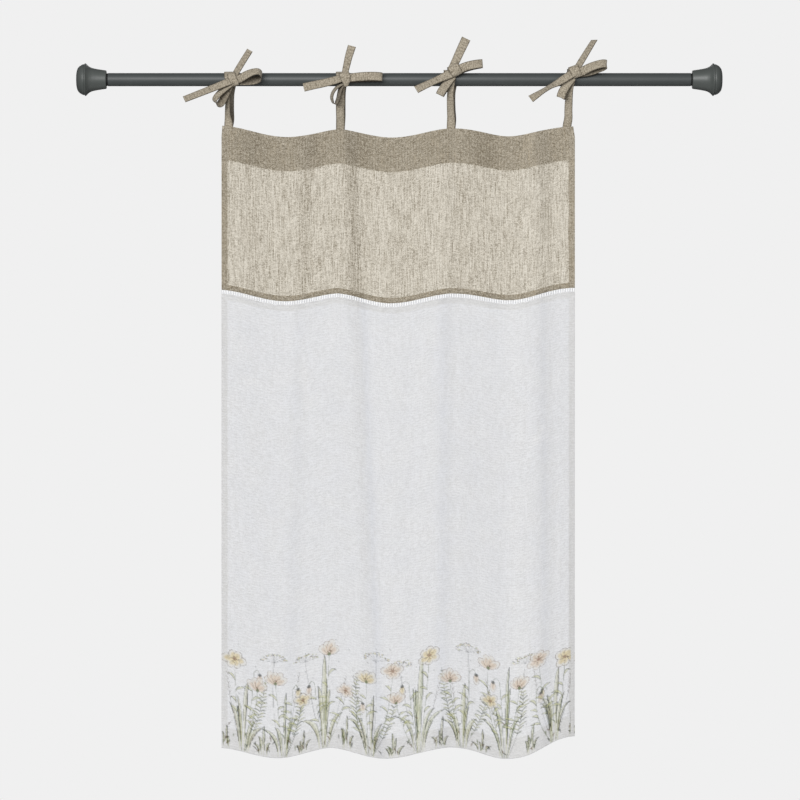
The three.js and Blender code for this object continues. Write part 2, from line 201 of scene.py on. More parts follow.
def blackPlugPlastic():  # nylon, moulded and left matt: nearly black with little shine
    material, tree = newMaterial("mattBlackNylon")
    coords = addNode(tree, "ShaderNodeTexCoord")
    grain = addNode(tree, "ShaderNodeTexNoise", inputs={
        "Vector": coords.outputs["Object"], "Scale": 1 / (0.8 * mm), "Detail": 2})
    tone = addNode(tree, "ShaderNodeMix", {"data_type": "RGBA"}, {
        0: grain.outputs["Fac"], 6: linear("#0e0f0f"), 7: linear("#181919")})
    shader = addNode(tree, "ShaderNodeBsdfPrincipled", inputs={
        "Base Color": tone.outputs[2], "Roughness": 0.72, "IOR": 1.53})
    addNode(tree, "ShaderNodeOutputMaterial", inputs={"Surface": shader.outputs[0]})
    return material


tubeSet = {"from": 52.5, "to": 1027.5, "radius": 11, "wall": 1, "sides": 96, "lip": 0.25}
smoothAngle = math.radians(35)
capSet = {
    "length": 1080,  # from pad to pad
    "steps": 96,
    "lead": 1.6,  # how far each profile point is rounded over, mm
    # half section from the pad inwards: radius, distance from the pad
    "profile": [(0, 0), (12.6, 0), (18, 1.4), (21.8, 4.2), (24.4, 8), (25.7, 11), (25.6, 12.1),
                (25.3, 12.8), (27.2, 14), (27.3, 15.4), (24.3, 18), (21.6, 21.2), (19.4, 26),
                (17.9, 33), (16.6, 41), (15.7, 47.4), (15.3, 49.6), (13.8, 50), (10, 50), (10, 28),
                (0, 28)],
}
plugSet = {
    "steps": 72,
    "lead": 0.2,
    "profile": [(0, 28.3), (9.7, 28.3), (9.7, 50.3), (10.5, 50.3), (10.5, 52.2), (9.7, 52.2),
                (9.7, 78.5), (0, 78.5)],
}


def roundedOver(profile, lead, stops=4, most=0.45):  # a short curve in place of each corner
    path = [profile[0]]
    for before, corner, after in zip(profile, profile[1:], profile[2:]):
        corner = Vector(corner)
        back = Vector(before) - corner
        ahead = Vector(after) - corner
        reach = min(lead, back.length * most, ahead.length * most)
        start = corner + back.normalized() * reach
        end = corner + ahead.normalized() * reach
        for k in range(stops + 1):
            t = k / stops
            path.append(tuple(start * (1 - t) ** 2 + corner * 2 * t * (1 - t) + end * t * t))
    return path + [profile[-1]]


def turnedPiece(name, profile, steps, material, mirrorAt=None):
    place = [(h if mirrorAt is None else mirrorAt - h, r) for r, h in profile]
    bpy.ops.object.select_all(action="DESELECT")
    bpy.ops.mesh.primitive_plane_add(size=2 * mm, location=(0, 0, 0))
    piece = bpy.context.object
    piece.name = name
    bpy.ops.object.mode_set(mode="EDIT")
    bpy.ops.mesh.select_all(action="SELECT")
    bpy.ops.mesh.merge(type="CENTER")
    bpy.ops.transform.translate(value=(place[0][0] * mm, 0, place[0][1] * mm))
    for (x0, z0), (x1, z1) in zip(place, place[1:]):
        bpy.ops.mesh.extrude_region_move(
            TRANSFORM_OT_translate={"value": ((x1 - x0) * mm, 0, (z1 - z0) * mm)})
    bpy.ops.mesh.select_all(action="SELECT")
    bpy.ops.mesh.spin(steps=steps, angle=2 * math.pi, center=(0, 0, 0), axis=(1, 0, 0))
    bpy.ops.mesh.select_all(action="SELECT")
    bpy.ops.mesh.remove_doubles(threshold=0.002 * mm)
    bpy.ops.mesh.normals_make_consistent(inside=False)
    bpy.ops.object.mode_set(mode="OBJECT")
    bpy.ops.object.shade_smooth_by_angle(angle=smoothAngle)
    piece.data.materials.append(material)
    return piece


def tubePiece(s, material):
    bpy.ops.object.select_all(action="DESELECT")
    span = (s["to"] - s["from"]) * mm
    bpy.ops.mesh.primitive_cylinder_add(
        vertices=s["sides"], radius=s["radius"] * mm, depth=span, end_fill_type="NOTHING")
    tube = bpy.context.object
    tube.name = "rod_tube_enamelled"
    bpy.ops.object.mode_set(mode="EDIT")
    bpy.ops.mesh.select_all(action="SELECT")
    bpy.ops.transform.rotate(value=math.radians(90), orient_axis="Y", center_override=(0, 0, 0))
    bpy.ops.transform.translate(value=((s["from"] + s["to"]) / 2 * mm, 0, 0))
    bpy.ops.mesh.normals_make_consistent(inside=False)
    bpy.ops.object.mode_set(mode="OBJECT")
    bpy.ops.object.transform_apply(location=True, rotation=True, scale=True)
    wall = tube.modifiers.new("wall", "SOLIDIFY")
    wall.thickness = s["wall"] * mm
    wall.offset = -1
    bpy.ops.object.modifier_apply(modifier="wall")
    edge = tube.modifiers.new("edge", "BEVEL")
    edge.width = s["lip"] * mm
    edge.segments = 2
    edge.limit_method = "ANGLE"
    edge.angle_limit = math.radians(50)
    bpy.ops.object.modifier_apply(modifier="edge")
    bpy.ops.object.shade_smooth_by_angle(angle=smoothAngle)
    tube.data.materials.append(material)
    return tube


def finishPiece(piece, node=None):
    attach(piece, "root")
    if node:
        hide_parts(node)


rodPaint = satinGrey("satinEnamelOnSteel", satinEnamel)
finishPiece(tubePiece(tubeSet, rodPaint), "rod_tube")
capPlastic = satinGrey("mouldedAbsGrey", mouldedAbs)
plugPlastic = blackPlugPlastic()
capCurve = roundedOver(capSet["profile"], capSet["lead"])
plugCurve = roundedOver(plugSet["profile"], plugSet["lead"], 2)
for side, mirrorAt in (("left", None), ("right", capSet["length"])):
    cap = turnedPiece("end_cap_" + side + "_moulded", capCurve, capSet["steps"], capPlastic, mirrorAt)
    finishPiece(cap, "end_cap_" + side)
    plug = turnedPiece("end_plug_" + side + "_moulded", plugCurve, plugSet["steps"], plugPlastic, mirrorAt)
    finishPiece(plug, "end_plug_" + side)
print("rod built")


# Curtain: the way the cloth hangs, shared by both panels and the trim

drapeSet = {
    "left": 242.7,
    "width": 591,
    "fullDrop": 1036,
    # sags: across, drift, drop below its level place at the top edge, the seam and the hem,
    # whether a tie holds it, and how narrow the dip after it is
    "sags": [(0, 0, 77.5, 77.9, 81.9, True, 1), (112, -18, 96.4, 97.2, 99, False, 1),
             (197.5, -14, 82.8, 83.9, 81.6, True, 1), (286, -12, 96.7, 100.5, 100.4, False, 1),
             (384.5, -5, 81.8, 84.2, 81, True, 1.5), (482, -6, 94.9, 95.3, 101.1, False, 1.5),
             (591, 0, 78.6, 79, 79.8, True, 1)],
    # folds: across, drift, forward at the heading, at the seam and at the hem
    "folds": [(0, 0, 7, 6, 6), (28, 0, 11, 8, 6), (78, 0, 1, 4, 6), (127, -28, 7, 6, 7),
              (161, -28, -3, 1.5, 4), (199, 40, 1, 4, 6), (231, 40, -10, -5, 1), (300, 20, -1, 0, 4),
              (368, -4, 9, 8, 9), (394, 0, 4, 3.5, 6), (430, 8, 1.5, 1, 1), (464, 14, -1, -0.5, -2),
              (519, 6, 10, 9, 10), (559, 6, -2, 1, 2), (578, 0, 1, 1, 0), (591, 0, 3, 2, -5)],
    "seamShare": 0.268,
    "sagRound": 0.25,  # how round the sags are, the rest is level at both ends
    "corners": (1.3, 2.6, 20, 40),  # top corners drawn in, left and right, over this drop and width
    "takeUp": 0.016,  # the right hem is drawn up a little
    "takeUpWidth": 90,
}


def drapePoints(across, down, s=drapeSet):
    share = down / s["fullDrop"]
    top = np.clip(share / s["seamShare"], 0, 1)
    low = np.clip((share - s["seamShare"]) / (1 - s["seamShare"]), 0, 1)

    def sizeAt(row):
        return row[2] + (row[3] - row[2]) * top + (row[4] - row[3]) * low

    def along(first, second):
        start = first[0] + first[1] * share
        return np.clip((across - start) / (second[0] + second[1] * share - start), 0, 1)

    sag = sizeAt(s["sags"][0])
    for first, second in zip(s["sags"], s["sags"][1:]):
        t = along(first, second)
        fromTie = t if first[5] else 1 - t
        rounded = s["sagRound"] * np.sin(fromTie * math.pi / 2)
        fall = (rounded + (1 - s["sagRound"]) * softStep(fromTie)) ** first[6]
        sag = sag + (sizeAt(second) - sizeAt(first)) * (fall if first[5] else 1 - fall)
    fold = sizeAt(s["folds"][0])
    for first, second in zip(s["folds"], s["folds"][1:]):
        fold = fold + (sizeAt(second) - sizeAt(first)) * softStep(along(first, second))
    takenUp = s["takeUp"] * softStep(1 - (s["width"] - across) / s["takeUpWidth"]) * down
    inLeft, inRight, inDrop, inWidth = s["corners"]
    nearTop = softStep(1 - down / inDrop)
    fromRight = s["width"] - across
    drawnIn = inLeft * softStep(1 - across / inWidth) - inRight * softStep(1 - fromRight / inWidth)
    return np.stack([s["left"] + across + drawnIn * nearTop, -fold, takenUp - sag - down], axis=-1)


def drapeNormals(across, down, probe=1.5):
    right = drapePoints(across + probe, down) - drapePoints(across - probe, down)
    up = drapePoints(across, down - probe) - drapePoints(across, down + probe)
    normal = np.cross(right, up)
    return normal / np.linalg.norm(normal, axis=-1, keepdims=True)


hemSet = {
    "edgeClear": 0.7, "innerClear": 0.4, "bend": 0.15,  # lines beside the folds, mm from them
    "frontShare": 0.7,  # what lies less than this share of a layer behind is the front layer
}


# A hem is turned twice, so three layers lie behind each other. Each line gets its place on the panel,
# how far it lies behind the front layer, and its place on the flat cloth.
def hemmedLines(lines, nearHem, farHem, gap, hemStep):
    full = lines[-1]
    clear, bend = hemSet["edgeClear"], hemSet["bend"]
    inner = [p for p in lines if clear < p < full - clear]

    def turned(hem):
        count = max(2, int(round(hem / hemStep)))
        ladder = list(np.linspace(clear, hem - hemSet["innerClear"], count))
        rows = [(p, gap, p - 2 * hem) for p in ladder]
        rows += [(hem, 1.5 * gap, -hem)]
        rows += [(p, 2 * gap, -p) for p in reversed(ladder)]
        return rows + [(bend, 1.7 * gap, -bend), (0, gap, 0), (bend, 0.3 * gap, bend)]

    rows = turned(nearHem) if nearHem else [(0, 0, 0)]
    rows += [(p, 0, p) for p in inner]
    far = turned(farHem) if farHem else [(0, 0, 0)]
    rows += [(full - p, b, full - f) for p, b, f in reversed(far)]
    return np.array(rows).T


def gridFaces(rows, columns):
    at = np.arange(rows * columns).reshape(rows, columns)
    return np.stack([at[:-1, :-1], at[1:, :-1], at[1:, 1:], at[:-1, 1:]], axis=-1).reshape(-1, 4)


def meshPiece(name, points, faces, material, flatPlaces=None):
    mesh = bpy.data.meshes.new(name)
    faceList = faces if isinstance(faces, list) else faces.tolist()
    mesh.from_pydata((np.asarray(points) * mm).tolist(), [], faceList)
    mesh.polygons.foreach_set("use_smooth", np.ones(len(mesh.polygons), dtype=bool))
    if flatPlaces is not None:
        corner = np.empty(len(mesh.loops), dtype=np.int32)
        mesh.loops.foreach_get("vertex_index", corner)
        layer = mesh.uv_layers.new(name="flatCloth")
        layer.data.foreach_set("uv", (np.asarray(flatPlaces)[corner] * mm).ravel())
    mesh.materials.append(material)
    mesh.update()
    piece = bpy.data.objects.new(name, mesh)
    bpy.context.collection.objects.link(piece)
    return piece


def spread(mesh, name, values):  # one number a point, for the materials to read
    layer = mesh.attributes.new(name, "FLOAT", "POINT")
    layer.data.foreach_set("value", np.asarray(values, dtype=np.float32).ravel())


# Small creases: from and to (across, down), half width, depth (minus stands forward), mm
creaseSet = {
    "linen": [
        ((28, 62), (66, 108), 5, 0.9), ((78, 150), (86, 214), 5, 0.9), ((130, 74), (140, 128), 6, 0.9),
        ((146, 168), (150, 246), 5, 1.0), ((168, 146), (196, 158), 5, 0.6), ((232, 70), (236, 118), 6, 1.2),
        ((224, 160), (246, 196), 7, 1.1), ((296, 134), (344, 116), 6, 0.7), ((322, 60), (334, 104), 7, 0.7),
        ((398, 62), (402, 236), 4, 1.0), ((430, 72), (470, 96), 7, 0.6), ((470, 130), (482, 210), 8, -0.6),
        ((540, 80), (552, 230), 7, 0.8),
    ],
    "white": [
        ((512, 528), (540, 496), 5, 1.2), ((20, 420), (78, 412), 4, 0.5),
        ((30, 560), (96, 570), 4, 0.4), ((110, 470), (150, 482), 4, 0.4), ((150, 610), (222, 640), 5, 0.5),
        ((262, 500), (330, 520), 5, 0.4), ((270, 640), (350, 652), 5, 0.4), ((430, 500), (470, 510), 6, 0.5),
        ((300, 380), (352, 372), 5, 0.4), ((440, 640), (500, 652), 5, 0.4), ((130, 330), (142, 470), 8, 0.6),
        ((250, 760), (330, 780), 5, 0.4),
    ],
}


def creases(across, down, rows):
    depth = np.zeros(across.shape)
    for (a0, d0), (a1, d1), half, deep in rows:
        run = np.array([a1 - a0, d1 - d0], dtype=float)
        size = np.linalg.norm(run)
        run /= size
        along = ((across - a0) * run[0] + (down - d0) * run[1]) / size
        aside = (across - a0) * -run[1] + (down - d0) * run[0]
        ends = np.sin(np.clip(along, 0, 1) * math.pi) ** 0.8
        depth += deep * ends * np.exp(-(aside / half) ** 2)
    return depth


# White panel's printed border: our own meadow, pen lines washed with thin colour

class Border:  # ink and colour on a grid of places across and down the panel
    def __init__(self, across, down):
        self.across = across
        self.down = down
        self.ink = np.zeros((len(down), len(across)))
        self.wet = np.zeros(self.ink.shape + (3,))

    def window(self, x0, x1, y0, y1):
        c = slice(*np.searchsorted(self.across, (x0, x1)))
        r = slice(*np.searchsorted(self.down, (y0, y1)))
        return r, c, self.across[None, c], self.down[r, None]

    def lay(self, r, c, amount, code):
        amount = np.clip(amount, 0, 1)
        self.ink[r, c] += amount * (1 - self.ink[r, c])
        amount = amount[..., None]
        self.wet[r, c] = self.wet[r, c] * (1 - amount) + np.array(linear(code)[:3]) * amount

    def colour(self):
        return self.wet / np.maximum(self.ink, 1e-6)[..., None]

    def stroke(self, points, wide, code, strength=1.0, soft=0.9):  # brush stroke, widths along its way
        points = np.array(points, dtype=float)
        pad = max(wide) / 2 + soft
        low, high = points.min(axis=0) - pad, points.max(axis=0) + pad
        r, c, x, y = self.window(low[0], high[0], low[1], high[1])
        if x.size == 0 or y.size == 0:
            return
        best = np.full((y.size, x.size), -9.0)
        half = np.interp(np.linspace(0, 1, len(points)), np.linspace(0, 1, len(wide)), wide) / 2
        for i in range(len(points) - 1):
            (x0, y0), run = points[i], points[i + 1] - points[i]
            t = np.clip(((x - x0) * run[0] + (y - y0) * run[1]) / max(run @ run, 1e-6), 0, 1)
            far = np.hypot(x - x0 - t * run[0], y - y0 - t * run[1])
            best = np.maximum(best, half[i] + (half[i + 1] - half[i]) * t - far)
        self.lay(r, c, strength * softStep(best / soft + 0.5), code)

    def drop(self, middle, size, turn, code, strength=1.0, soft=1.0, point=0.0):  # petal or leaf
        reach = max(size) + soft
        r, c, x, y = self.window(middle[0] - reach, middle[0] + reach, middle[1] - reach, middle[1] + reach)
        if x.size == 0 or y.size == 0:
            return
        dx, dy = x - middle[0], y - middle[1]
        cosTurn, sinTurn = math.cos(math.radians(turn)), math.sin(math.radians(turn))
        x, y = dx * cosTurn + dy * sinTurn, dy * cosTurn - dx * sinTurn
        narrow = 1 - point * (0.5 + 0.5 * np.clip(x / size[0], -1, 1))
        far = np.hypot(x / size[0], y / (size[1] * np.maximum(narrow, 0.05)))
        self.lay(r, c, strength * softStep((1 - far) * min(size) / soft + 0.5), code)


borderSet = {
    "hem": 1036,  # down to the bottom edge
    "specks": 120,
    "yellow": "#e6cd7c", "peach": "#dfc2a2", "rust": "#8f6d4e", "leaf": "#c6c784", "olive": "#938c44",
    "green": "#63703f", "darkGreen": "#2c3324", "brown": "#6b5434", "pencil": "#4a4c46", "paper": "#e0ddd4",
    # leaves that fan out from one foot: across, tallest, spread to each side, how many, width, shade
    "fans": [(36, 122, 38, 6, 7.5, "brown"), (104, 96, 32, 5, 7, "green"), (172, 140, 36, 5, 8, "olive"),
             (248, 92, 38, 5, 7.5, "brown"), (330, 146, 40, 6, 8, "green"), (402, 98, 34, 5, 7.5, "olive"),
             (474, 136, 38, 5, 8, "green"), (556, 128, 32, 6, 7.5, "brown")],
    # the same, low, between the plants
    "sprouts": [(70, 46, 16, 4, 5, "green"), (136, 34, 18, 4, 4.5, "brown"), (208, 52, 16, 4, 5, "olive"),
                (288, 38, 20, 5, 4.5, "green"), (366, 48, 16, 4, 5, "brown"), (436, 36, 18, 4, 4.5, "olive"),
                (516, 50, 16, 4, 5, "green"), (8, 40, 10, 3, 4.5, "olive"), (586, 42, 8, 3, 4.5, "green")],
    # ferns: across, height, lean, pairs of leaflets, longest leaflet
    "ferns": [(66, 128, 8, 15, 20), (138, 112, -8, 14, 18), (214, 132, 14, 16, 20), (284, 108, 10, 13, 18),
              (374, 136, -6, 16, 20), (436, 110, 12, 14, 18), (512, 132, -10, 15, 20)],
    # umbels, in pencil: across, height, lean, reach
    "umbels": [(80, 158, 8, 22), (150, 152, -10, 19), (262, 160, -4, 22), (308, 148, -10, 19),
               (418, 162, -6, 22), (500, 154, 8, 20)],
    # grass ears, in pencil: across, height, lean
    "ears": [(14, 132, -4), (120, 138, 10), (196, 124, 12), (232, 130, -12), (352, 124, 16), (390, 138, -8),
             (452, 128, -10), (530, 142, -8), (580, 118, 6)],
    # flowers: across, height, lean, reach, petals, colour, seen from the front
    "flowers": [(22, 152, 0, 23, 6, "yellow", True), (56, 108, 4, 20, 4, "peach", False),
                (96, 124, -6, 20, 5, "peach", False), (128, 90, 8, 18, 5, "yellow", True),
                (176, 158, 4, 22, 4, "peach", False), (202, 100, 6, 18, 5, "peach", True),
                (240, 124, 2, 20, 5, "yellow", False), (284, 146, 2, 22, 6, "peach", True),
                (300, 92, -8, 19, 4, "peach", False), (342, 160, 6, 23, 6, "yellow", True),
                (386, 112, -4, 20, 5, "peach", False), (440, 146, 6, 21, 4, "peach", False),
                (458, 92, -8, 18, 5, "yellow", True), (492, 116, 6, 20, 4, "peach", False),
                (536, 152, -6, 22, 6, "peach", True), (572, 138, 2, 23, 6, "yellow", True)],
    # hanging buds: across, height, lean, length, colour
    "buds": [(50, 136, 14, 16, "peach"), (116, 112, 12, 15, "yellow"), (160, 112, -14, 16, "peach"),
             (222, 88, 14, 15, "peach"), (318, 120, -16, 16, "yellow"), (410, 130, 16, 16, "peach"),
             (470, 126, -16, 16, "peach"), (522, 100, 14, 15, "yellow"), (548, 96, -14, 16, "peach")],
}


def curve(start, bend, end, stops=12):
    t = np.linspace(0, 1, stops)[:, None]
    return (1 - t) ** 2 * np.array(start) + 2 * t * (1 - t) * np.array(bend) + t * t * np.array(end)


def besides(path, offsets):  # the same line moved to its side
    run = np.gradient(path, axis=0)
    run /= np.maximum(np.linalg.norm(run, axis=1, keepdims=True), 1e-6)
    return path + np.stack([-run[:, 1], run[:, 0]], axis=1) * np.asarray(offsets)[:, None]


def paintBorder(b, s):
    low = s["hem"]
    chance = np.random.default_rng(11)

    def pen(path, wide, code, strength):  # a drawn line that thins out and breaks here and there
        at = 0
        while at < len(path) - 1:
            stop = min(len(path), at + int(chance.integers(3, 7)))
            press = strength * chance.uniform(0.5, 1.1)
            b.stroke(path[at:stop], (wide * 0.7, wide, wide * 0.7), s[code], press, 0.7)
            at = stop - 1 + int(chance.random() < 0.35)

    def leaf(foot, bend, tip, wide, shade):
        path = curve(foot, bend, tip, 16)
        side = 1 if tip[0] > foot[0] else -1
        belly = np.interp(np.linspace(0, 1, 16), [0, 0.2, 0.5, 0.8, 1], [0.1, 0.45, 1, 0.6, 0]) * wide / 2
        b.stroke(path, tuple(belly * 2), s["leaf"], 0.3, 1.2)
        b.stroke(besides(path, side * belly * 0.5)[3:], tuple(belly[3:]), s[shade], 0.32, 1.6)
        shaded, inner = besides(path, side * belly), besides(path, -side * belly * 0.3)
        pen(shaded[2:], 1.6, "darkGreen", 0.95)
        pen(besides(path, -side * belly)[4:], 1.2, "pencil", 0.6)
        for k in range(4, 14, 2):  # hatching from the shaded edge
            b.stroke([shaded[k], inner[k + 1]], (1.1, 0.7), s["darkGreen" if k % 4 else "green"], 0.42, 0.7)

    def fan(a, tall, spread, count, wide, shade):
        for k in range(count):
            aside = 2 * (k + 0.5) / count - 1 + chance.uniform(-0.22, 0.22)
            high = tall * (1 - 0.4 * abs(aside)) * chance.uniform(0.6, 1)
            high = tall * 1.12 if k == count // 2 else high
            hang = 0.86 if chance.random() < 0.4 else 1
            x = a + aside * spread * (1.1 if hang < 1 else 0.9)
            bend = (a + aside * spread * 0.25, low - high * 0.8)
            width = wide * chance.uniform(0.6, 1.1)
            leaf((a + aside * 9, low - 1), bend, (x, low - high * hang), width, shade)
        for k in range(6):  # dark dabs and short blades at its foot
            x, y = a + chance.normal(0, 0.4) * spread, low - chance.uniform(4, 0.42 * tall)
            dx, dy = chance.uniform(-7, 7), chance.uniform(-9, -3)
            b.stroke(curve((x, y), (x + dx * 0.2, y + dy * 0.7), (x + dx, y + dy), 5), (0.8, 2.4, 0.6),
                     s[("darkGreen", "green", "brown")[k % 3]], 0.7, 0.8)

    def stem(a, top, lean, code="green", strength=0.6):  # from the nearest foot, with a few thin leaves
        foot = min((row[0] for row in s["fans"]), key=lambda x: abs(x - a))
        path = curve((foot + (a - foot) * 0.12, low - 2), (a, low - top * 0.5), (a + lean, low - top), 18)
        pen(path, 1.3, code, strength)
        for k in (7, 9, 11, 13) if code == "green" else ():
            side = 1 if chance.random() < 0.5 else -1
            long, rise = chance.uniform(9, 19), chance.uniform(4, 12)
            tip = (path[k][0] + side * long, path[k][1] - rise)
            bend = (path[k][0] + side * long * 0.35, path[k][1] - rise * 1.2)
            spray = curve(path[k], bend, tip, 7)
            b.stroke(spray, (0.8, 3.6, 0.5), s["leaf"], 0.5, 0.9)
            pen(besides(spray, [0, -1, -1.6, -1.8, -1.5, -0.8, 0]), 1.2, "darkGreen", 0.8)
            pen(besides(spray, [0, 1, 1.6, 1.8, 1.5, 0.8, 0]), 1.0, "pencil", 0.55)
        return path

    def fern(a, tall, lean, pairs, longest):
        path = stem(a, tall, lean, "darkGreen", 0.6)
        last = len(path) - 1
        for k in range(pairs):
            t = 0.3 + 0.7 * k / pairs
            at = int(t * last)
            x, y = path[at] + (path[min(last, at + 1)] - path[at]) * (t * last % 1)
            for side in (-1, 1):
                turn = math.radians(-90 + side * chance.uniform(50, 78))
                size = longest * (1 - t) ** 0.6 * min(1, 2.4 * (t - 0.1)) * chance.uniform(0.75, 1.1)
                tip = (x + math.cos(turn) * size, y + math.sin(turn) * size)
                bend = ((x + tip[0]) / 2, (y + tip[1]) / 2 - size * 0.16)
                wash = s["leaf" if k % 3 else "green"]
                b.stroke(curve((x, y), bend, tip, 5), (0.9, 2.6, 0.5), wash, 0.5, 0.9)
                pen(curve((x, y + 0.6), bend, tip, 5), 1.3, "darkGreen" if side > 0 else "pencil", 0.75)

    def umbel(a, tall, lean, reach):
        x, y = stem(a, tall, lean, "pencil", 0.5)[-1]
        for turn in np.linspace(-165, -15, 9) + chance.uniform(-6, 6, 9):
            tx = x + math.cos(math.radians(turn)) * reach * chance.uniform(0.75, 1.05)
            ty = y + math.sin(math.radians(turn)) * reach * 0.62
            pen(curve((x, y), (x + (tx - x) * 0.4, ty + 1), (tx, ty), 5), 0.9, "pencil", 0.45)
            for k in range(6):
                dot = (tx + chance.normal(0, 2.1), ty + chance.normal(0, 1.3))
                b.drop(dot, (1.1, 0.9), 0, s[("pencil", "leaf", "pencil", "peach")[k % 4]], 0.6, 0.7)

    def ear(a, tall, lean):
        path = stem(a, tall, lean, "pencil", 0.42)
        for k in range(11, 17):
            x, y = path[k]
            for side in (-1, 1):
                tip = (x + side * 2.6 + lean * 0.06, y - 5)
                b.stroke([(x, y), tip], (0.7, 1.5, 0.6), s["brown"], 0.5, 0.7)

    def petal(foot, size, turn, code):  # outline from the foot to the tip with a thin wash inside
        c, n = math.cos(math.radians(turn)), math.sin(math.radians(turn))
        middle = (foot[0] + c * size[0], foot[1] + n * size[0])
        b.drop(middle, (size[0], size[1]), turn, s["paper"], 0.6, 0.9, -0.3)
        b.drop((middle[0] - c * size[0] * 0.25, middle[1] - n * size[0] * 0.25),
               (size[0] * 0.72, size[1] * 0.8), turn, s[code], 0.46, 3.0)
        sweep = np.linspace(0.25, 2 * math.pi - 0.25, 15) + math.pi
        u = size[0] * np.cos(sweep)
        fuller = 1 + 0.3 * (0.5 + 0.5 * np.cos(sweep))  # towards the tip
        v = size[1] * np.sin(sweep) * fuller + chance.uniform(-0.5, 0.5, 15)
        pen(np.stack([middle[0] + u * c - v * n, middle[1] + u * n + v * c], axis=1), 1.0,
            "rust" if code == "peach" else "brown", 0.7)
        for k in (-0.4, 0, 0.4):  # veins
            along, aside = size[0] * 0.5, size[1] * k
            tip = (middle[0] + c * along - n * aside, middle[1] + n * along + c * aside)
            b.stroke([foot, tip], (1.0, 0.5), s["pencil" if k else "rust"], 0.3, 0.7)

    def flower(a, tall, lean, reach, petals, code, facing):
        x, y = stem(a, tall, lean)[-1]
        first = chance.uniform(0, 60)
        for k in range(petals):
            if facing:
                turn = first + 360 * k / petals + chance.uniform(-8, 8)
                long = chance.uniform(0.42, 0.52)
            else:
                turn = -90 + (k - (petals - 1) / 2) * 34 + chance.uniform(-5, 5)
                long = chance.uniform(0.46, 0.56)
            flat = 1 - 0.3 * abs(math.sin(math.radians(turn))) if facing else 1
            petal((x, y), (reach * long * flat, reach * 0.25), turn, code)
        if facing:
            b.drop((x, y), (reach * 0.16, reach * 0.12), 0, s["rust"], 0.6, 1.0)
        for k in range(7):
            turn = chance.uniform(0, 2 * math.pi) if facing else chance.uniform(-2.4, -0.7)
            far = reach * chance.uniform(0.12, 0.3)
            dot = (x + far * math.cos(turn), y + far * math.sin(turn))
            b.drop(dot, (0.9, 0.8), 0, s["brown"], 0.7, 0.7)
        if not facing:
            b.drop((x, y + 0.5), (reach * 0.14, reach * 0.13), 0, s["green"], 0.8, 0.9)

    def bud(a, tall, lean, high, code):
        top = low - tall
        over = curve((a + lean * 0.3, top), (a + lean * 0.8, top - 12), (a + lean, top + 2), 8)
        stem(a, tall, lean * 0.3)
        pen(over, 1.3, "green", 0.7)
        petal(over[-1], (high * 0.5, high * 0.26), 90, code)
        b.drop(over[-1], (high * 0.17, high * 0.2), 90, s["darkGreen"], 0.75, 0.9)

    for part, rows in ((umbel, "umbels"), (ear, "ears"), (fern, "ferns"), (bud, "buds"), (fan, "sprouts"),
                       (fan, "fans"), (flower, "flowers")):
        for row in s[rows]:
            part(*row)
    for k in range(s["specks"]):  # loose specks between the plants
        x, high = chance.uniform(8, 584), chance.uniform(20, 186)
        size = (chance.uniform(0.8, 1.8), 0.7)
        b.drop((x, low - high), size, chance.uniform(0, 360), s["pencil"], 0.4, 0.7)


# Sheer cloth: threads with open gaps between them, so what lies behind shows through

threadSet = {
    "fine": 3,  # a size below this, mm, is one thread: there is a step from each to the next
    "apart": 5.37,  # how far apart in the noise two neighbours are read, not a whole number
    "smooth": 1e-5,  # the step where there is none to see
}


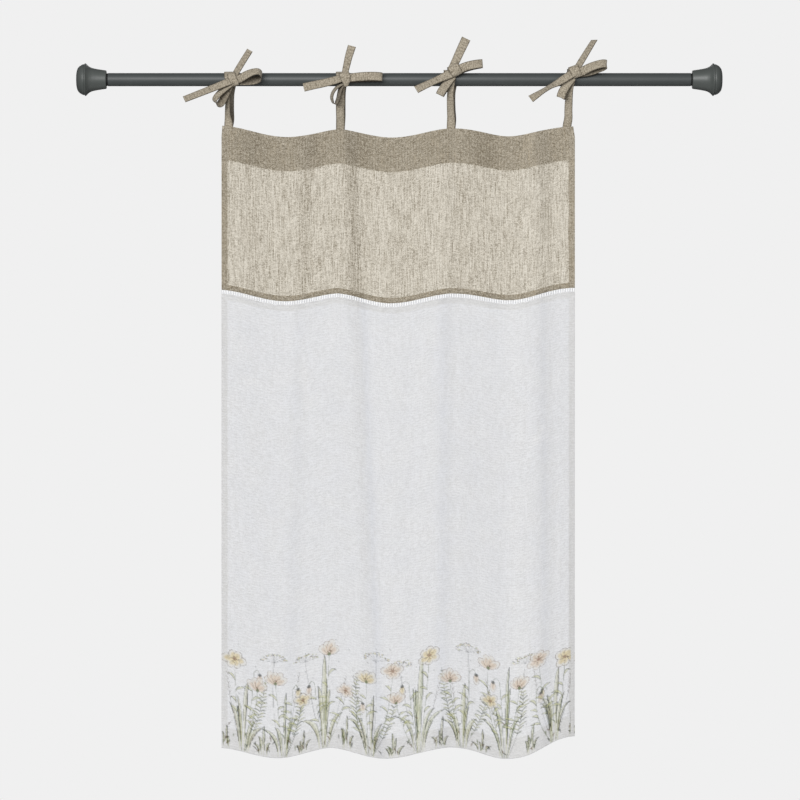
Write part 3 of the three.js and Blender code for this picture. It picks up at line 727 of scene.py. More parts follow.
def sheerCloth(name, s):
    material, tree = newMaterial(name)
    place = addNode(tree, "ShaderNodeUVMap", {"uv_map": "flatCloth"})
    period, wander, lineShare, direction = s["lines"]
    gap = s["open"] + sum(row[2] for row in s["threads"])
    shade = 0.5 - sum(row[3] for row in s["threads"]) - lineShare
    for wide, tall, gapShare, shadeShare in s["threads"]:  # thick and thin places along the threads
        fine = [(size * mm, size < threadSet["fine"]) for size in (wide, tall)]
        steps = [size if single else threadSet["smooth"] for size, single in fine]
        scales = [(threadSet["apart"] if single else 1) / size for size, single in fine]
        step = addNode(tree, "ShaderNodeVectorMath", {"operation": "SNAP"}, {
            0: place.outputs[0], 1: (*steps, 1)})
        stretch = addNode(tree, "ShaderNodeMapping", inputs={
            "Vector": step.outputs[0], "Scale": (*scales, 1)})
        slub = addNode(tree, "ShaderNodeTexNoise", {"noise_dimensions": "2D"}, {
            "Vector": stretch.outputs[0], "Scale": 1.0, "Detail": 0})
        gap = addNode(tree, "ShaderNodeMath", {"operation": "MULTIPLY_ADD"}, {
            0: slub.outputs["Fac"], 1: -2 * gapShare, 2: gap}).outputs[0]
        shade = addNode(tree, "ShaderNodeMath", {"operation": "MULTIPLY_ADD"}, {
            0: slub.outputs["Fac"], 1: 2 * shadeShare, 2: shade}).outputs[0]
    proud = addNode(tree, "ShaderNodeTexWave", {"bands_direction": direction}, {
        "Vector": place.outputs[0], "Scale": math.pi / 10 / (period * mm), "Distortion": wander,
        "Detail": 1.0, "Detail Scale": 0.6})  # at scale 1 the bands are pi / 10 apart
    shade = addNode(tree, "ShaderNodeMath", {"operation": "MULTIPLY_ADD"}, {
        0: proud.outputs["Fac"], 1: 2 * lineShare, 2: shade}).outputs[0]
    # painted shade on the heading's layers, darker where its folds turn from the light
    turn = addNode(tree, "ShaderNodeAttribute", {"attribute_name": "paintedTurnShade"})
    shade = addNode(tree, "ShaderNodeMath", {"operation": "ADD"}, {
        0: shade, 1: turn.outputs["Fac"]}).outputs[0]
    opening = addNode(tree, "ShaderNodeClamp", inputs={"Value": gap, "Min": 0.0, "Max": s["mostOpen"]})
    close = addNode(tree, "ShaderNodeAttribute", {"attribute_name": "closeness"})
    through = addNode(tree, "ShaderNodeMath", {"operation": "POWER", "use_clamp": True}, {
        0: opening.outputs[0], 1: close.outputs["Fac"]})  # a slanted or gathered weave closes up
    tone = addNode(tree, "ShaderNodeMix", {"data_type": "RGBA"}, {
        0: shade, 6: linear(s["light"]), 7: linear(s["dark"])})
    colour = tone.outputs[2]
    if s["printed"]:
        ink = addNode(tree, "ShaderNodeAttribute", {"attribute_name": "borderPrint"})
        colour = addNode(tree, "ShaderNodeMix", {"data_type": "RGBA"}, {
            0: ink.outputs["Alpha"], 6: colour, 7: ink.outputs["Color"]}).outputs[2]
        filled = addNode(tree, "ShaderNodeMath", {"operation": "MULTIPLY_ADD"}, {
            0: ink.outputs["Alpha"], 1: -s["printed"], 2: 1.0})
        through = addNode(tree, "ShaderNodeMath", {"operation": "MULTIPLY"}, {
            0: through.outputs[0], 1: filled.outputs[0]})
    bump = addNode(tree, "ShaderNodeBump", inputs={
        "Strength": s["bump"], "Distance": 0.4 * mm, "Height": shade})
    front = addNode(tree, "ShaderNodeBsdfPrincipled", inputs={
        "Base Color": colour, "Roughness": 0.9, "Specular IOR Level": 0.2, "Sheen Weight": 0.1,
        "Sheen Roughness": 0.5, "Normal": bump.outputs[0]})
    glow = addNode(tree, "ShaderNodeBsdfTranslucent", inputs={"Color": colour, "Normal": bump.outputs[0]})
    cloth = addNode(tree, "ShaderNodeMixShader", inputs={
        0: s["glow"], 1: front.outputs[0], 2: glow.outputs[0]})
    clear = addNode(tree, "ShaderNodeBsdfTransparent", inputs={"Color": linear(s["tint"])})
    both = addNode(tree, "ShaderNodeMixShader", inputs={
        0: through.outputs[0], 1: cloth.outputs[0], 2: clear.outputs[0]})
    addNode(tree, "ShaderNodeOutputMaterial", inputs={"Surface": both.outputs[0]})
    return material


# natural linen in an open plain weave: flax threads of uneven thickness, warp slubs show most.
# Threads are about 0.5 mm apart, too fine for the picture, so they are drawn about 0.9 mm apart
linenWeave = {
    # unevenness of the warp, the crossings, the weft and the whole: across, along, share in the gaps
    # and share in the colour, mm
    "threads": [(0.9, 26, 0.38, 0.25), (0.9, 0.9, 0.2, 1.35), (7, 0.9, 0.11, 0.6), (40, 60, 0.04, 0.04)],
    "open": 0.38, "mostOpen": 0.66, "closing": 3.4,
    "dark": "#847a68", "light": "#d3cab9", "tint": "#fff9ec", "glow": 0.15, "bump": 0.4,
    # where the weave is drawn together (or apart): across, drift, half width, how much
    "gathers": [(51, 0, 18, 0.16), (144, -28, 11, 0.4), (215, 40, 11, 0.4), (272, 0, 14, -0.14),
                (302, 0, 14, 0.1), (355, 0, 22, -0.16), (398, 0, 10, 0.14), (425, 0, 20, 0.1),
                (505, 0, 22, -0.16), (572, 0, 9, -0.16)],
    "hemClose": 1.7,  # how much closer the layers of a hem look
    "lines": (4.9, 3.0, 0.1, "X"),  # threads that lie a little proud: apart, wander, share, direction
    # painted shade where the layered heading turns to or from the light: across, half width, how much darker
    "turns": [(54, 26, 0.2), (106, 14, 0.02), (150, 20, 0.16), (228, 20, 0.24), (440, 22, 0.24),
              (515, 14, -0.16), (590, 16, -0.1)],
    "printed": 0,  # how far ink fills the gaps
}
# cotton and linen voile, bleached: finer and closer, drawn about 0.9 mm apart for the same reason
voileWeave = {
    "threads": [(1.1, 40, 0.04, 0.25), (0.9, 0.9, 0.06, 0.75), (7, 0.9, 0.07, 0.65), (34, 34, 0.03, 0.03)],
    "open": 0.18, "mostOpen": 0.5, "closing": 1.8,
    "dark": "#d9d8d6", "light": "#f7f6f4", "tint": "#b5bfd8", "glow": 0.1, "bump": 0.3,
    "gathers": [(140, -28, 10, -0.08), (226, 40, 9, -0.2), (372, -4, 12, -0.16), (536, 6, 7, -0.16)],
    "hemClose": 1.0, "lines": (4.4, 5.0, 0.08, "Y"), "turns": [], "printed": 0.45,
}
closeSet = {"leastSlant": 0.3, "crease": 0.25, "from": 0.6, "to": 3}  # limits of how the weave closes up
linenPanelSet = {
    "from": 0, "drop": 274, "topHem": 57, "bottomHem": 9, "sideHem": 10,
    "rowGap": 0.42, "sideGap": 0.14, "step": 4.6, "hemStep": 7, "front": 0.25,
}
whitePanelSet = {
    "from": 280.4, "drop": 755.6, "topHem": 10, "bottomHem": 34, "sideHem": 10,
    "rowGap": 0.42, "sideGap": 0.14, "step": 1.35, "coarseStep": 12, "printHeight": 190,
    "hemStep": 7, "front": 0.25,
}


def panelPiece(name, s, downLines, creaseRows, weave, material):
    acrossLines = np.linspace(0, drapeSet["width"], int(drapeSet["width"] / s["step"]) + 1)
    a, backA, flatA = hemmedLines(acrossLines, s["sideHem"], s["sideHem"], s["sideGap"], s["hemStep"])
    d, backD, flatD = hemmedLines(downLines, s["topHem"], s["bottomHem"], s["rowGap"], s["hemStep"])
    across, down = np.meshgrid(a, d)
    down = down + s["from"]
    normal = drapeNormals(across, down)
    crease = creases(across, down, creaseRows)
    behind = backD[:, None] + backA[None, :] - s["front"] + crease
    points = drapePoints(across, down) - normal * behind[..., None]
    u, v = np.meshgrid(flatA, -flatD)
    piece = meshPiece(name, points.reshape(-1, 3), gridFaces(*across.shape), material,
                      np.stack([u, v], axis=-1).reshape(-1, 2))
    slant = np.maximum(np.abs(normal[..., 1]), closeSet["leastSlant"]) ** -weave["closing"]
    share = down / drapeSet["fullDrop"]
    drawn = 1 + closeSet["crease"] * np.maximum(crease, 0)
    for place, drift, half, amount in weave["gathers"]:
        drawn = drawn + amount * np.exp(-((across - place - drift * share) / half) ** 2)
    layered = (d < s["topHem"]) | (d > s["drop"] - s["bottomHem"])
    layered = layered[:, None] | ((a < s["sideHem"]) | (a > drapeSet["width"] - s["sideHem"]))[None, :]
    close = np.clip(slant * drawn, closeSet["from"], closeSet["to"])
    spread(piece.data, "closeness", close * np.where(layered, weave["hemClose"], 1))
    # painted shade: the layered parts are darkened where the folds turn from the light
    turned = np.zeros(across.shape)
    for place, half, amount in weave["turns"]:
        turned += amount * np.exp(-((across - place) / half) ** 2)
    spread(piece.data, "paintedTurnShade", turned * layered)
    frontRow, frontColumn = s["rowGap"] * hemSet["frontShare"], s["sideGap"] * hemSet["frontShare"]
    front = (backD[:, None] < frontRow) & (backA[None, :] < frontColumn)
    return piece, across, down, front


linenLines = np.linspace(0, linenPanelSet["drop"], int(linenPanelSet["drop"] / linenPanelSet["step"]) + 1)
linen = panelPiece("linen_panel_cloth", linenPanelSet, linenLines, creaseSet["linen"], linenWeave,
                   sheerCloth("openWeaveNaturalLinen", linenWeave))[0]
finishPiece(linen, "linen_panel")

printFrom = whitePanelSet["drop"] - whitePanelSet["printHeight"]
plainCount = int(printFrom / whitePanelSet["coarseStep"])
printCount = int(whitePanelSet["printHeight"] / whitePanelSet["step"])
whiteLines = np.concatenate([np.linspace(0, printFrom, plainCount)[:-1],
                             np.linspace(printFrom, whitePanelSet["drop"], printCount)])
white, across, down, front = panelPiece("white_panel_cloth", whitePanelSet, whiteLines, creaseSet["white"],
                                        voileWeave, sheerCloth("bleachedVoilePrinted", voileWeave))
frontRows, frontColumns = np.where(front.any(axis=1))[0], np.where(front.any(axis=0))[0]
border = Border(across[0, frontColumns], down[frontRows, 0])
paintBorder(border, borderSet)
ink = np.zeros(across.shape + (4,), dtype=np.float32)
ink[np.ix_(frontRows, frontColumns)] = np.concatenate([border.colour(), border.ink[..., None]], axis=-1)
layer = white.data.attributes.new("borderPrint", "FLOAT_COLOR", "POINT")
layer.data.foreach_set("color", ink.ravel())
finishPiece(white, "white_panel")
print("panels hung", len(linen.data.polygons), len(white.data.polygons))


# Ladder trim: a narrow band with an open row of white bars

trimSet = {
    "from": 274.3, "drop": 5.8, "columns": 240, "rows": 4,
    "setBack": 0.2,  # of the band, behind the middle of the cloth
    "pitch": 3.95, "barWide": 1.8, "barThick": 0.7, "barFoot": 0.1,
    "barEnds": [(-0.06, 0.35), (0.12, 1), (0.88, 1), (1.06, 0.35)],  # share of the drop, of the thickness
    "strays": [(0.11, 2.4), (0.075, 5.1)],  # how far a bar stands aside, mm, and how fast that changes
    "swell": (0.12, 3.7),  # the same for its width, as a share
}


def trimCotton():  # mercerised cotton, embroidered: bright white with a little sheen
    material, tree = newMaterial("mercerisedCottonTrim")
    coords = addNode(tree, "ShaderNodeTexCoord")
    twist = addNode(tree, "ShaderNodeTexNoise", inputs={
        "Vector": coords.outputs["Object"], "Scale": 1 / (0.9 * mm), "Detail": 2})
    tone = addNode(tree, "ShaderNodeMix", {"data_type": "RGBA"}, {
        0: twist.outputs["Fac"], 6: linear("#f1f1f0"), 7: linear("#ffffff")})
    bump = addNode(tree, "ShaderNodeBump", inputs={
        "Strength": 0.3, "Distance": 0.2 * mm, "Height": twist.outputs["Fac"]})
    shader = addNode(tree, "ShaderNodeBsdfPrincipled", inputs={
        "Base Color": tone.outputs[2], "Roughness": 0.7, "Sheen Weight": 0.2, "Normal": bump.outputs[0]})
    addNode(tree, "ShaderNodeOutputMaterial", inputs={"Surface": shader.outputs[0]})
    return material


def trimBand(s):
    columns = np.linspace(0, drapeSet["width"], s["columns"])
    rows = np.linspace(s["from"], s["from"] + s["drop"], s["rows"])
    across, down = np.meshgrid(columns, rows)
    points = drapePoints(across, down) - drapeNormals(across, down) * s["setBack"]
    return points.reshape(-1, 3), gridFaces(*across.shape)


def trimBars(s):  # each bar a little different, as sewn
    count = int(drapeSet["width"] / s["pitch"])
    shares, thick = np.array(s["barEnds"]).T
    bars = []
    for k in range(count):
        middle = (k + 0.5) * drapeSet["width"] / count
        aside = sum(far * math.sin(k * pace) for far, pace in s["strays"])
        half = s["barWide"] / 2 * (1 + s["swell"][0] * math.sin(k * s["swell"][1]))
        section = np.array([(-half, 0), (-half * 0.7, 1), (half * 0.7, 1), (half, 0)])
        across, down = np.meshgrid(middle + aside + section[:, 0], s["from"] + s["drop"] * shares)
        lift = np.outer(thick, section[:, 1] * s["barThick"]) + s["barFoot"]
        bars.append(drapePoints(across, down) + drapeNormals(across, down) * lift[..., None])
    points = np.array(bars).reshape(-1, 3)
    return points, np.concatenate([gridFaces(4, 4) + 16 * k for k in range(count)])


bandPoints, bandFaces = trimBand(trimSet)
trimVoile = sheerCloth("trimVoile", dict(voileWeave, open=0.25, printed=0))
trim = meshPiece("ladder_trim_band", bandPoints, bandFaces, trimVoile, bandPoints[:, [0, 2]])
spread(trim.data, "closeness", np.ones(len(trim.data.vertices)))
finishPiece(trim, "ladder_trim")
barPiece = meshPiece("ladder_trim_bars", *trimBars(trimSet), trimCotton())
finishPiece(barPiece)
print("trim sewn")


# Ties: linen tape folded and stitched, passed round the rod and knotted in a bow

tapeSet = {
    "wide": 14.5, "thick": 1.5,
    "seat": 6,  # how far down the heading it is sewn
    "frontSewn": 2.2, "backSewn": 3.9,  # how far the two straps lie behind the cloth there
    "around": 12.7,  # from the rod's middle to the middle of the tape round it
    "aroundFrom": -18, "aroundStops": 14,  # degrees from the back of the rod, minus is below it
    "overLead": 4.5,  # it leaves the rod this far behind the first stop of its end over the front
    "edgeShade": 0.85, "edgeFrom": 0.78,  # painted shade along the edges, from this share of the half width
    # painted shadow on the back strap's front face and painted shade inside the loops
    "insideShade": 0.8, "loopShade": 0.42,
    "frontStops": 60, "backStops": 110,
    # stops along the other tapes, and which side of them lies inside a loop
    "parts": {"up": (40, 0), "side": (48, 0), "loop": (70, -1), "low": (64, 1), "knot": (44, 0)},
    "backPlace": 40, "nextPlace": 20,  # on the flat cloth: the tape's back beside its front, the next tape
}
# stops of each tape: across, depth to the front, height, lean and tilt of its width, share of its width
tieSet = {
    "tie_1": {
        "front": [(253.6, 3, -66, -90, -36, 1), (252.8, 5, -54, -90, -52, 1),
            (253.2, 9, -38, -90, -58, 1), (253.7, 12.8, -24, -90, -62, 1),
            (255.4, 15, -11, -90, -50, 0.8), (259.5, 15.4, -0.6, -90, -10, 0.6)],
        "back": [(257, -4, -64.5, -90, 30, 1), (258.9, -9, -46, -90, 62, 1),
            (259, -13, -20, -90, 56, 1)],
        "over": [(254.3, 10.3, 7.7, -90, 0, 1), (255.5, 13.9, 1.9, -90, 0, 1),
            (259.6, 15.6, -1.4, -90, 0, 1)],
        "up": [(262.2, 14.8, -3.2, 57, 34, 0.8), (266.6, 16.2, 8.4, 57, 38, 0.95),
            (278, 17.5, 27.4, 57, 40, 1), (290.7, 18, 47.5, 57, 41, 1)],
        "side": [(268.1, 20.5, -0.2, 22, 12, 0.9), (258.2, 21.5, -4.2, 22, 25, 0.97),
            (236.2, 24, -13.5, 22, 32, 1), (208.6, 27, -24.7, 22, 36, 1),
            (181.6, 29.5, -35.5, 22, 39, 1)],
        "loop": [(265.6, 19, -3, 27, 14, 0.9), (274.9, 23.5, 0.1, 27, 10, 0.95),
            (285, 29, 5.2, 26, 22, 1), (295.9, 33, 9.4, 16, 34, 1), (305.1, 33.5, 10.4, 4, 38, 1),
            (310.2, 28, 6.1, -4, 34, 1), (308.4, 20.5, 0.5, -2, 26, 1), (299.6, 15.8, -2.2, 0, 14, 1),
            (286.3, 14.2, -3.4, 0, 8, 1), (273, 15.4, -4.1, 0, 4, 0.9)],
        "low": [(261.4, 18.5, -6.8, 44, 30, 0.85), (249, 21.3, -16.7, 44, 38, 1),
            (238.3, 23.6, -26.9, 44, 42, 1), (232.7, 24.4, -35.6, 40, 42, 1),
            (235.5, 23, -42.3, 36, 36, 1), (240.8, 20.6, -42.4, 36, 30, 1),
            (245.7, 18, -35.1, 40, 28, 1), (251.3, 16.3, -23.3, 44, 26, 1),
            (258.8, 15.8, -9.1, 44, 20, 0.85)],
        "knot": [(258.8, 12.5, 7.9, -72, 0, 0.9), (258.6, 16.5, 9.4, -72, 0, 0.92),
            (259.7, 21.5, 6.4, -72, 0, 0.92), (262, 24, 0.2, -72, 0, 0.92),
            (265, 23.6, -6.8, -72, 0, 0.92), (266.6, 20, -11.4, -72, 0, 0.88),
            (266.2, 15, -10.7, -72, 0, 0.8)],
    },
    "tie_2": {
        "front": [(441.3, 3, -64.7, -90, 16, 1), (441, 5.5, -51.5, -90, 16, 1),
            (441.8, 9, -39.5, -90, 2, 1), (445, 12.9, -26, -90, -48, 0.75),
            (446.3, 14.5, -12.2, -90, -50, 0.65), (446.5, 15.2, -2.3, -90, -10, 0.5)],
        "back": [(443, -4, -64.5, -90, 24, 1), (444.8, -8, -46, -90, 50, 1),
            (444.4, -12.7, -20, -90, 40, 1)],
        "over": [(441.1, 10.3, 7.7, -90, 0, 1), (442.8, 13.9, 2.8, -90, 0, 1),
            (446.1, 15.6, -0.7, -90, 0, 1)],
        "up": [(446.6, 14.8, -0.7, 75, 38, 0.85), (449.5, 16.5, 10.9, 75, 38, 0.95),
            (454.7, 18, 33.5, 73, 30, 1), (458.2, 18.4, 45.6, 72, 22, 1), (461, 18.2, 54.5, 70, 18, 1)],
        "side": [(444.6, 20.5, 0.8, 12, 30, 0.95), (435.7, 21.3, -1.9, 12, 22, 1),
            (416.3, 24, -7.3, 12, 16, 1), (396.9, 26.5, -11.6, 12, 12, 1),
            (380.5, 28.5, -15.5, 12, 6, 1)],
        "loop": [(450.4, 19, -0, 4, 0, 0.9), (459.5, 21.8, 1.5, 4, 0, 0.95), (477.9, 25.6, 3, 3, 0, 1),
            (496.2, 27, 3.4, 0, 0, 1), (507.2, 25.6, 2.9, -1, 0, 1), (511.1, 22.2, 2.5, -2, 0, 1),
            (506.1, 18.2, 2.4, -1, 0, 1), (487.8, 16.2, 2.1, 1, 0, 1), (467.8, 15.6, 1.3, 2, 0, 1),
            (452.8, 15.8, -0.1, 3, 0, 0.9)],
        "low": [(444.5, 17, -8.3, 60, 50, 0.85), (436.2, 18.5, -14.3, 62, 64, 1),
            (429.5, 19.3, -22.7, 62, 68, 1), (427.2, 19.5, -31.9, 60, 68, 1),
            (430, 19.5, -40.2, 58, 68, 1), (434.6, 19.5, -40.7, 58, 66, 1),
            (438, 19.4, -32.5, 60, 64, 1), (440.2, 18.6, -22.6, 62, 62, 1),
            (444.2, 16.6, -10.5, 60, 50, 0.85)],
        "knot": [(446.8, 12.5, 8.7, -80, 0, 1.1), (446.8, 16.5, 11, -80, 0, 1.15),
            (447.9, 21.5, 8.4, -80, 0, 1.2), (449.9, 24, 1.9, -80, 0, 1.2),
            (451.1, 23.4, -5.7, -80, 0, 0.9), (451, 20, -12.6, -80, 0, 0.42),
            (450.6, 15, -11.7, -80, 0, 0.35)],
    },
    "tie_3": {
        "front": [(626.6, 3, -64.7, -90, -24, 1), (625.9, 5.5, -51.5, -90, -34, 1),
            (625.5, 9, -38.5, -90, -36, 1), (625.4, 12.9, -25.5, -90, -38, 0.95),
            (626.4, 14.5, -12.2, -90, -28, 0.85), (629.4, 15.2, 4.4, -90, -10, 0.75)],
        "back": [(628.8, -4, -64.5, -90, 28, 1), (630, -8, -46, -90, 58, 1),
            (629.4, -12.7, -20, -90, 50, 1)],
        "over": [(621.5, 6, 14.6, -90, 0, 1), (621.1, 11.5, 14.3, -90, 0, 1),
            (623.5, 15, 12, -90, 0, 1), (627.7, 16, 9.2, -90, 0, 1)],
        "up": [(624, 14.8, 10.2, 64, 20, 0.9), (631.4, 16.5, 23.8, 65, 20, 1),
            (641.2, 17.6, 45.1, 65, 10, 1.03), (651.6, 18, 67, 64, 0, 1.06)],
        "side": [(634.3, 20.5, 12.2, 25, 8, 1), (625.1, 21.4, 7.7, 25, 10, 1.04),
            (602.1, 24.5, -3, 25, 34, 1), (582.6, 27, -12.1, 25, 31, 1), (568, 29.5, -19.4, 25, 24, 1)],
        "loop": [(633.5, 19, 12.3, 24, 4, 0.95), (643.4, 21.8, 17.2, 20, 2, 1),
            (655.8, 25.2, 21.2, 14, 2, 1), (667.4, 26.8, 23.4, 9, 2, 1), (675.8, 25, 24.5, 6, 0, 1),
            (678.3, 22, 24.7, 4, 0, 1), (674.3, 18.5, 24, 6, 0, 1), (661, 16.4, 21.5, 12, 0, 1),
            (646, 15.6, 16.9, 18, 0, 1), (634.4, 15.8, 11.7, 22, 0, 0.95)],
        "low": [(629, 18.5, 3.5, 56, 12, 0.9), (619.8, 21.5, -7.9, 58, 12, 1),
            (612.6, 23.2, -18, 60, 10, 1), (608.5, 22, -25.1, 62, 8, 1),
            (608.2, 19.6, -26.9, 62, 6, 1), (611.9, 16.8, -20.8, 60, 6, 1),
            (619.4, 15.8, -9.1, 58, 6, 1), (627.7, 15.8, 2.6, 56, 6, 0.9)],
        "knot": [(628.7, 12.5, 20.4, -61, 0, 1.3), (628.3, 16.5, 22.8, -61, 0, 1.33),
            (629.6, 21.5, 20.4, -61, 0, 1.36), (632.2, 24, 15.2, -61, 0, 1.36),
            (635.6, 23.6, 9.7, -61, 0, 1.34), (637.8, 20, 6, -61, 0, 1.28),
            (637.4, 15, 7, -61, 0, 1.15)],
    },
    "tie_4": {
        "front": [(822.7, 3, -64.7, -90, -20, 1), (822.7, 5.5, -51.5, -90, -28, 1),
            (823.1, 9, -38.5, -90, -32, 1), (824.4, 12.9, -23.8, -90, -42, 0.95),
            (826, 14.5, -12.2, -90, -36, 0.85), (829.3, 15.2, 1.1, -90, -10, 0.75)],
        "back": [(823.2, -4, -64.5, -90, 20, 1), (824.4, -8, -46, -90, 45, 1),
            (824.4, -12.7, -20, -90, 40, 1)],
        "over": [(827.7, 6, 16.3, -90, 0, 1), (827.4, 11.5, 16, -90, 0, 1),
            (829.3, 15, 13.7, -90, 0, 1), (832.6, 16, 10.9, -90, 0, 1)],
        "up": [(830.9, 14.8, 7.7, 59, 38, 0.85), (838.9, 16.5, 21.2, 59, 41, 0.97),
            (851.3, 18, 41.7, 59, 46, 1), (864.1, 18.5, 62.4, 58, 53, 1)],
        "upCut": 2.4,
        "side": [(834, 20.5, 10.5, 30, 16, 0.95), (826, 21.5, 6.6, 30, 22, 1),
            (812.7, 23.5, -2.1, 30, 26, 1), (801.7, 25, -8.9, 30, 42, 1),
            (791.8, 26.3, -14, 32, 56, 1), (779.3, 27.5, -21.4, 33, 54, 1),
            (771, 28.3, -26.8, 34, 44, 1), (758.8, 29, -34.8, 34, 26, 1)],
        "loop": [(834.9, 19, 10, 28, 6, 0.95), (844.4, 21.8, 11.7, 28, 6, 1),
            (857, 25.2, 18, 22, 10, 1), (870.2, 27.2, 22.5, 12, 14, 1), (880.3, 26, 24.5, 4, 14, 1),
            (885.3, 22.5, 23.6, -4, 12, 1), (879.9, 18.8, 20, 2, 8, 1), (867.5, 16.8, 15.5, 10, 6, 1),
            (854.2, 15.8, 11.6, 18, 6, 1), (835.9, 15.8, 8.4, 24, 6, 0.95)],
        "low": [(829.1, 18.5, 1.5, 58, 10, 0.9), (819.8, 21.5, -9.9, 60, 10, 1),
            (812.9, 23.2, -20.9, 62, 8, 1), (809.6, 22, -29.3, 63, 6, 1), (810.4, 19.6, -31, 63, 6, 1),
            (814.9, 16.8, -22.5, 62, 6, 1), (820.9, 15.8, -10.7, 60, 6, 1),
            (828.4, 15.8, -0.7, 58, 6, 0.9)],
        "knot": [(830.1, 12.5, 18.7, -70, 0, 1.12), (829.5, 16.5, 21, -70, 0, 1.15),
            (830.6, 21.5, 18.4, -70, 0, 1.18), (833, 24, 12.5, -70, 0, 1.18),
            (835.5, 23.5, 6.6, -70, 0, 1.15), (837, 20, 2.5, -70, 0, 1.1), (836.8, 15, 3.7, -70, 0, 1)],
    },
}


def tieTape():  # the same linen, folded in four and stitched: close and matt, with painted shade on its edges, inside its loops and on the back strap
    material, tree = newMaterial("foldedLinenTape")
    place = addNode(tree, "ShaderNodeUVMap", {"uv_map": "flatCloth"})
    noises = []
    for scale in ((1 / (9 * mm), 1 / (1.4 * mm), 1), (1 / (1.4 * mm), 1 / (3 * mm), 1)):
        stretch = addNode(tree, "ShaderNodeMapping", inputs={"Vector": place.outputs[0], "Scale": scale})
        noises.append(addNode(tree, "ShaderNodeTexNoise", {"noise_dimensions": "2D"}, {
            "Vector": stretch.outputs[0], "Scale": 1.0, "Detail": 2}))
    both = addNode(tree, "ShaderNodeMath", {"operation": "MULTIPLY_ADD"}, {
        0: noises[0].outputs["Fac"], 1: 1.2, 2: -0.9})
    mixed = addNode(tree, "ShaderNodeMath", {"operation": "MULTIPLY_ADD", "use_clamp": True}, {
        0: noises[1].outputs["Fac"], 1: 1.6, 2: both.outputs[0]})
    tone = addNode(tree, "ShaderNodeMix", {"data_type": "RGBA"}, {
        0: mixed.outputs[0], 6: linear("#6c6353"), 7: linear("#beb4a2")})
    edge = addNode(tree, "ShaderNodeAttribute", {"attribute_name": "edge"})
    paintedShade = addNode(tree, "ShaderNodeMix", {"data_type": "RGBA"}, {
        0: edge.outputs["Fac"], 6: tone.outputs[2], 7: linear("#3d352a")})  # painted shade: the folded edges, the insides of the loops and the back strap
    bump = addNode(tree, "ShaderNodeBump", inputs={
        "Strength": 0.5, "Distance": 0.4 * mm, "Height": mixed.outputs[0]})
    shader = addNode(tree, "ShaderNodeBsdfPrincipled", inputs={
        "Base Color": paintedShade.outputs[2], "Roughness": 0.92, "Specular IOR Level": 0.2, "Sheen Weight": 0.15,
        "Normal": bump.outputs[0]})
    addNode(tree, "ShaderNodeOutputMaterial", inputs={"Surface": shader.outputs[0]})
    return material


# section of the tape: share of half width, share of half thickness; the dip is the stitched line
tapeHalf = [(0.45, 0.95), (0.75, 0.85), (0.81, 0.55), (0.87, 0.85), (0.94, 0.9), (0.985, 0.55), (1, 0)]
tapeTop = [(-x, y) for x, y in reversed(tapeHalf)] + [(0, 0.9)] + tapeHalf
tapeSection = np.array(tapeTop + [(x, -y) for x, y in reversed(tapeTop[1:-1])])


class TieMesh:  # gathers the tapes of one tie as one mesh
    def __init__(self):
        self.points, self.faces, self.places, self.paintedShades = [], [], [], []
        self.count = 0
        self.run = 0.0

    # inside is the side of the tape that gets painted shade, cut how far the end is cut on the slant
    def tape(self, path, widths, shares, inside=0, shade=0, cut=0):
        path, widths = np.array(path, dtype=float), np.array(widths, dtype=float)
        shares = np.array(shares, dtype=float)
        ahead = np.gradient(path, axis=0)
        ahead /= np.linalg.norm(ahead, axis=1, keepdims=True)
        widths -= ahead * (widths * ahead).sum(axis=1, keepdims=True)
        widths /= np.linalg.norm(widths, axis=1, keepdims=True)
        face = np.cross(ahead, widths)
        section = tapeSection
        size = len(section)
        wide = tapeSet["wide"] / 2 * shares
        deep = tapeSet["thick"] / 2
        ring = (path[:, None, :] + widths[:, None, :] * (section[:, 0] * wide[:, None])[..., None]
                + face[:, None, :] * (section[:, 1] * deep)[None, :, None])
        ring[-1] += ahead[-1] * (cut * (1 - section[:, 0]))[:, None]
        steps = np.r_[0, np.cumsum(np.linalg.norm(np.diff(path, axis=0), axis=1))]
        v = np.repeat((steps + self.run)[:, None], size, axis=1)
        u = np.repeat((section[:, 0] * tapeSet["wide"] / 2)[None, :], len(path), axis=0)
        u = u + np.where(section[:, 1] < 0, tapeSet["backPlace"], 0)[None, :]
        at = self.count + np.arange(len(path) * size).reshape(len(path), size)
        nxt = np.roll(at, -1, axis=1)
        quads = np.stack([at[:-1], nxt[:-1], nxt[1:], at[1:]], axis=-1).reshape(-1, 4)
        self.points.append(ring.reshape(-1, 3))
        self.faces += quads.tolist() + [at[0, ::-1].tolist(), at[-1].tolist()]
        self.places.append(np.stack([u, v], axis=-1).reshape(-1, 2))
        # painted shade along both edges, and on the side given as inside
        edge = tapeSet["edgeFrom"]
        paintedShade = np.clip((np.abs(section[:, 0]) - edge) / (1 - edge), 0, 1) * tapeSet["edgeShade"]
        inner = np.where(section[:, 1] * inside > 0, 1, 0) * np.reshape(shade, (-1, 1))
        self.paintedShades.append(np.maximum(paintedShade, inner * np.ones((len(path), 1))).ravel())
        self.count += len(path) * size
        self.run += steps[-1] + tapeSet["nextPlace"]
        return steps[-1]


def smoothPath(stops, count):  # Catmull-Rom through the stops
    stops = np.array(stops, dtype=float)
    padded = np.vstack([2 * stops[0] - stops[1], stops, 2 * stops[-1] - stops[-2]])
    t = np.linspace(0, len(stops) - 1.000001, count)
    i = t.astype(int)
    f = (t - i)[:, None]
    p0, p1, p2, p3 = padded[i], padded[i + 1], padded[i + 2], padded[i + 3]
    return 0.5 * (2 * p1 + (p2 - p0) * f + (2 * p0 - 5 * p1 + 4 * p2 - p3) * f ** 2
                  + (3 * p1 - p0 - 3 * p2 + p3) * f ** 3)


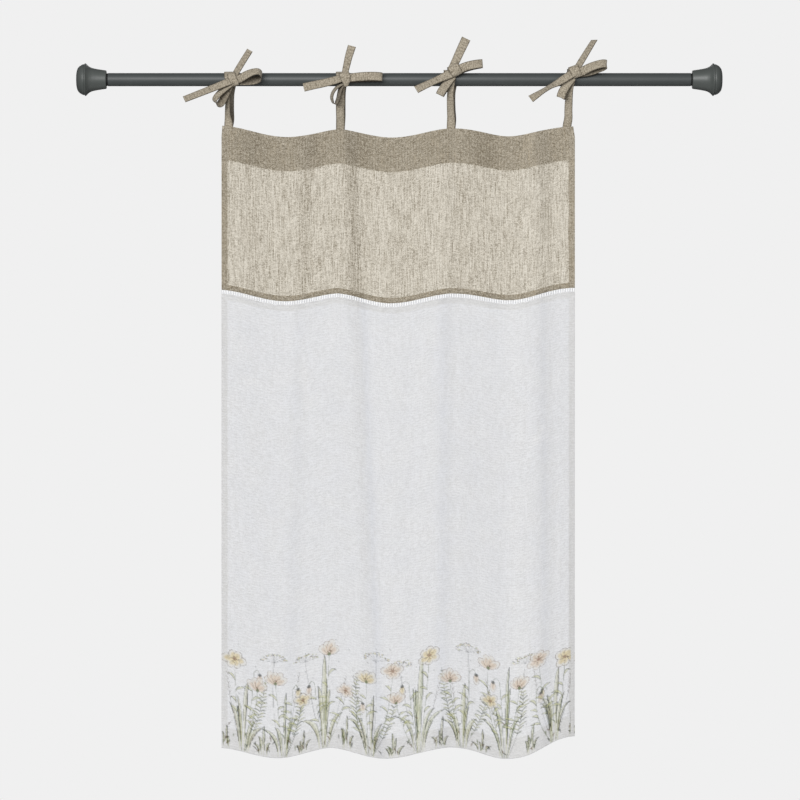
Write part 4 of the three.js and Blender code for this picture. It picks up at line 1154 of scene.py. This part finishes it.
def tapeStations(stops, count):
    smooth = smoothPath(stops, count)
    lean, tilt = np.radians(smooth[:, 3]), np.radians(smooth[:, 4])
    path = np.stack([smooth[:, 0], -smooth[:, 1], smooth[:, 2]], axis=1)
    widths = np.stack([-np.sin(lean) * np.cos(tilt), np.sin(tilt), np.cos(lean) * np.cos(tilt)], axis=1)
    return path, widths, smooth[:, 5]


def tiePiece(name, s, material):
    t = TieMesh()
    across = s["front"][0][0] - drapeSet["left"] + np.array([-0.5, 0, 0.5]) * tapeSet["wide"]

    def sewn(behind):  # flat against the back of the cloth, clear of its folds
        stops = []
        for downAt in (tapeSet["seat"], 0):
            points = drapePoints(across, np.full(3, float(downAt)))
            stops.append((points[1][0], -points[:, 1].max() - behind, points[1][2], -90, 0, 1))
        return stops

    front = sewn(tapeSet["frontSewn"]) + s["front"]
    length = t.tape(*tapeStations(front, tapeSet["frontStops"]))
    around = tapeSet["around"]
    endTurn = math.acos(-(s["over"][0][1] - tapeSet["overLead"]) / around)
    turns = np.linspace(math.radians(tapeSet["aroundFrom"]), endTurn, tapeSet["aroundStops"])
    places = np.linspace(s["back"][-1][0], s["over"][0][0], tapeSet["aroundStops"])
    ring = [(x, -around * math.cos(turn), around * math.sin(turn), -90, 0, 1)
            for x, turn in zip(places, turns)]
    back = sewn(tapeSet["backSewn"]) + s["back"] + ring + s["over"]
    # painted shadow on the back strap's front face, where it lies behind the front strap
    shade = tapeSet["insideShade"] * softStep(np.linspace(1.4, -4, tapeSet["backStops"]))
    length += t.tape(*tapeStations(back, tapeSet["backStops"]), -1, shade)
    for part, (count, inside) in tapeSet["parts"].items():
        # painted shade inside a loop from its bend on, less where it comes back to the knot
        shade = softStep(np.linspace(-4, 4, count)) * softStep(np.linspace(5, 0.6, count))
        length += t.tape(*tapeStations(s[part], count), inside, tapeSet["loopShade"] * shade,
                         s.get(part + "Cut", 0))
    piece = meshPiece(name + "_tape", np.concatenate(t.points), t.faces, material, np.concatenate(t.places))
    # the painted shade of the edges, the loop insides and the back strap, for the tape's material
    spread(piece.data, "edge", np.concatenate(t.paintedShades))
    return piece, length


tape = tieTape()
for name, s in tieSet.items():
    piece, length = tiePiece(name, s, tape)
    selectOnly(piece)
    bpy.ops.object.mode_set(mode="EDIT")
    bpy.ops.mesh.select_all(action="SELECT")
    bpy.ops.mesh.normals_make_consistent(inside=False)
    bpy.ops.object.mode_set(mode="OBJECT")
    finishPiece(piece, name)
print("ties knotted")
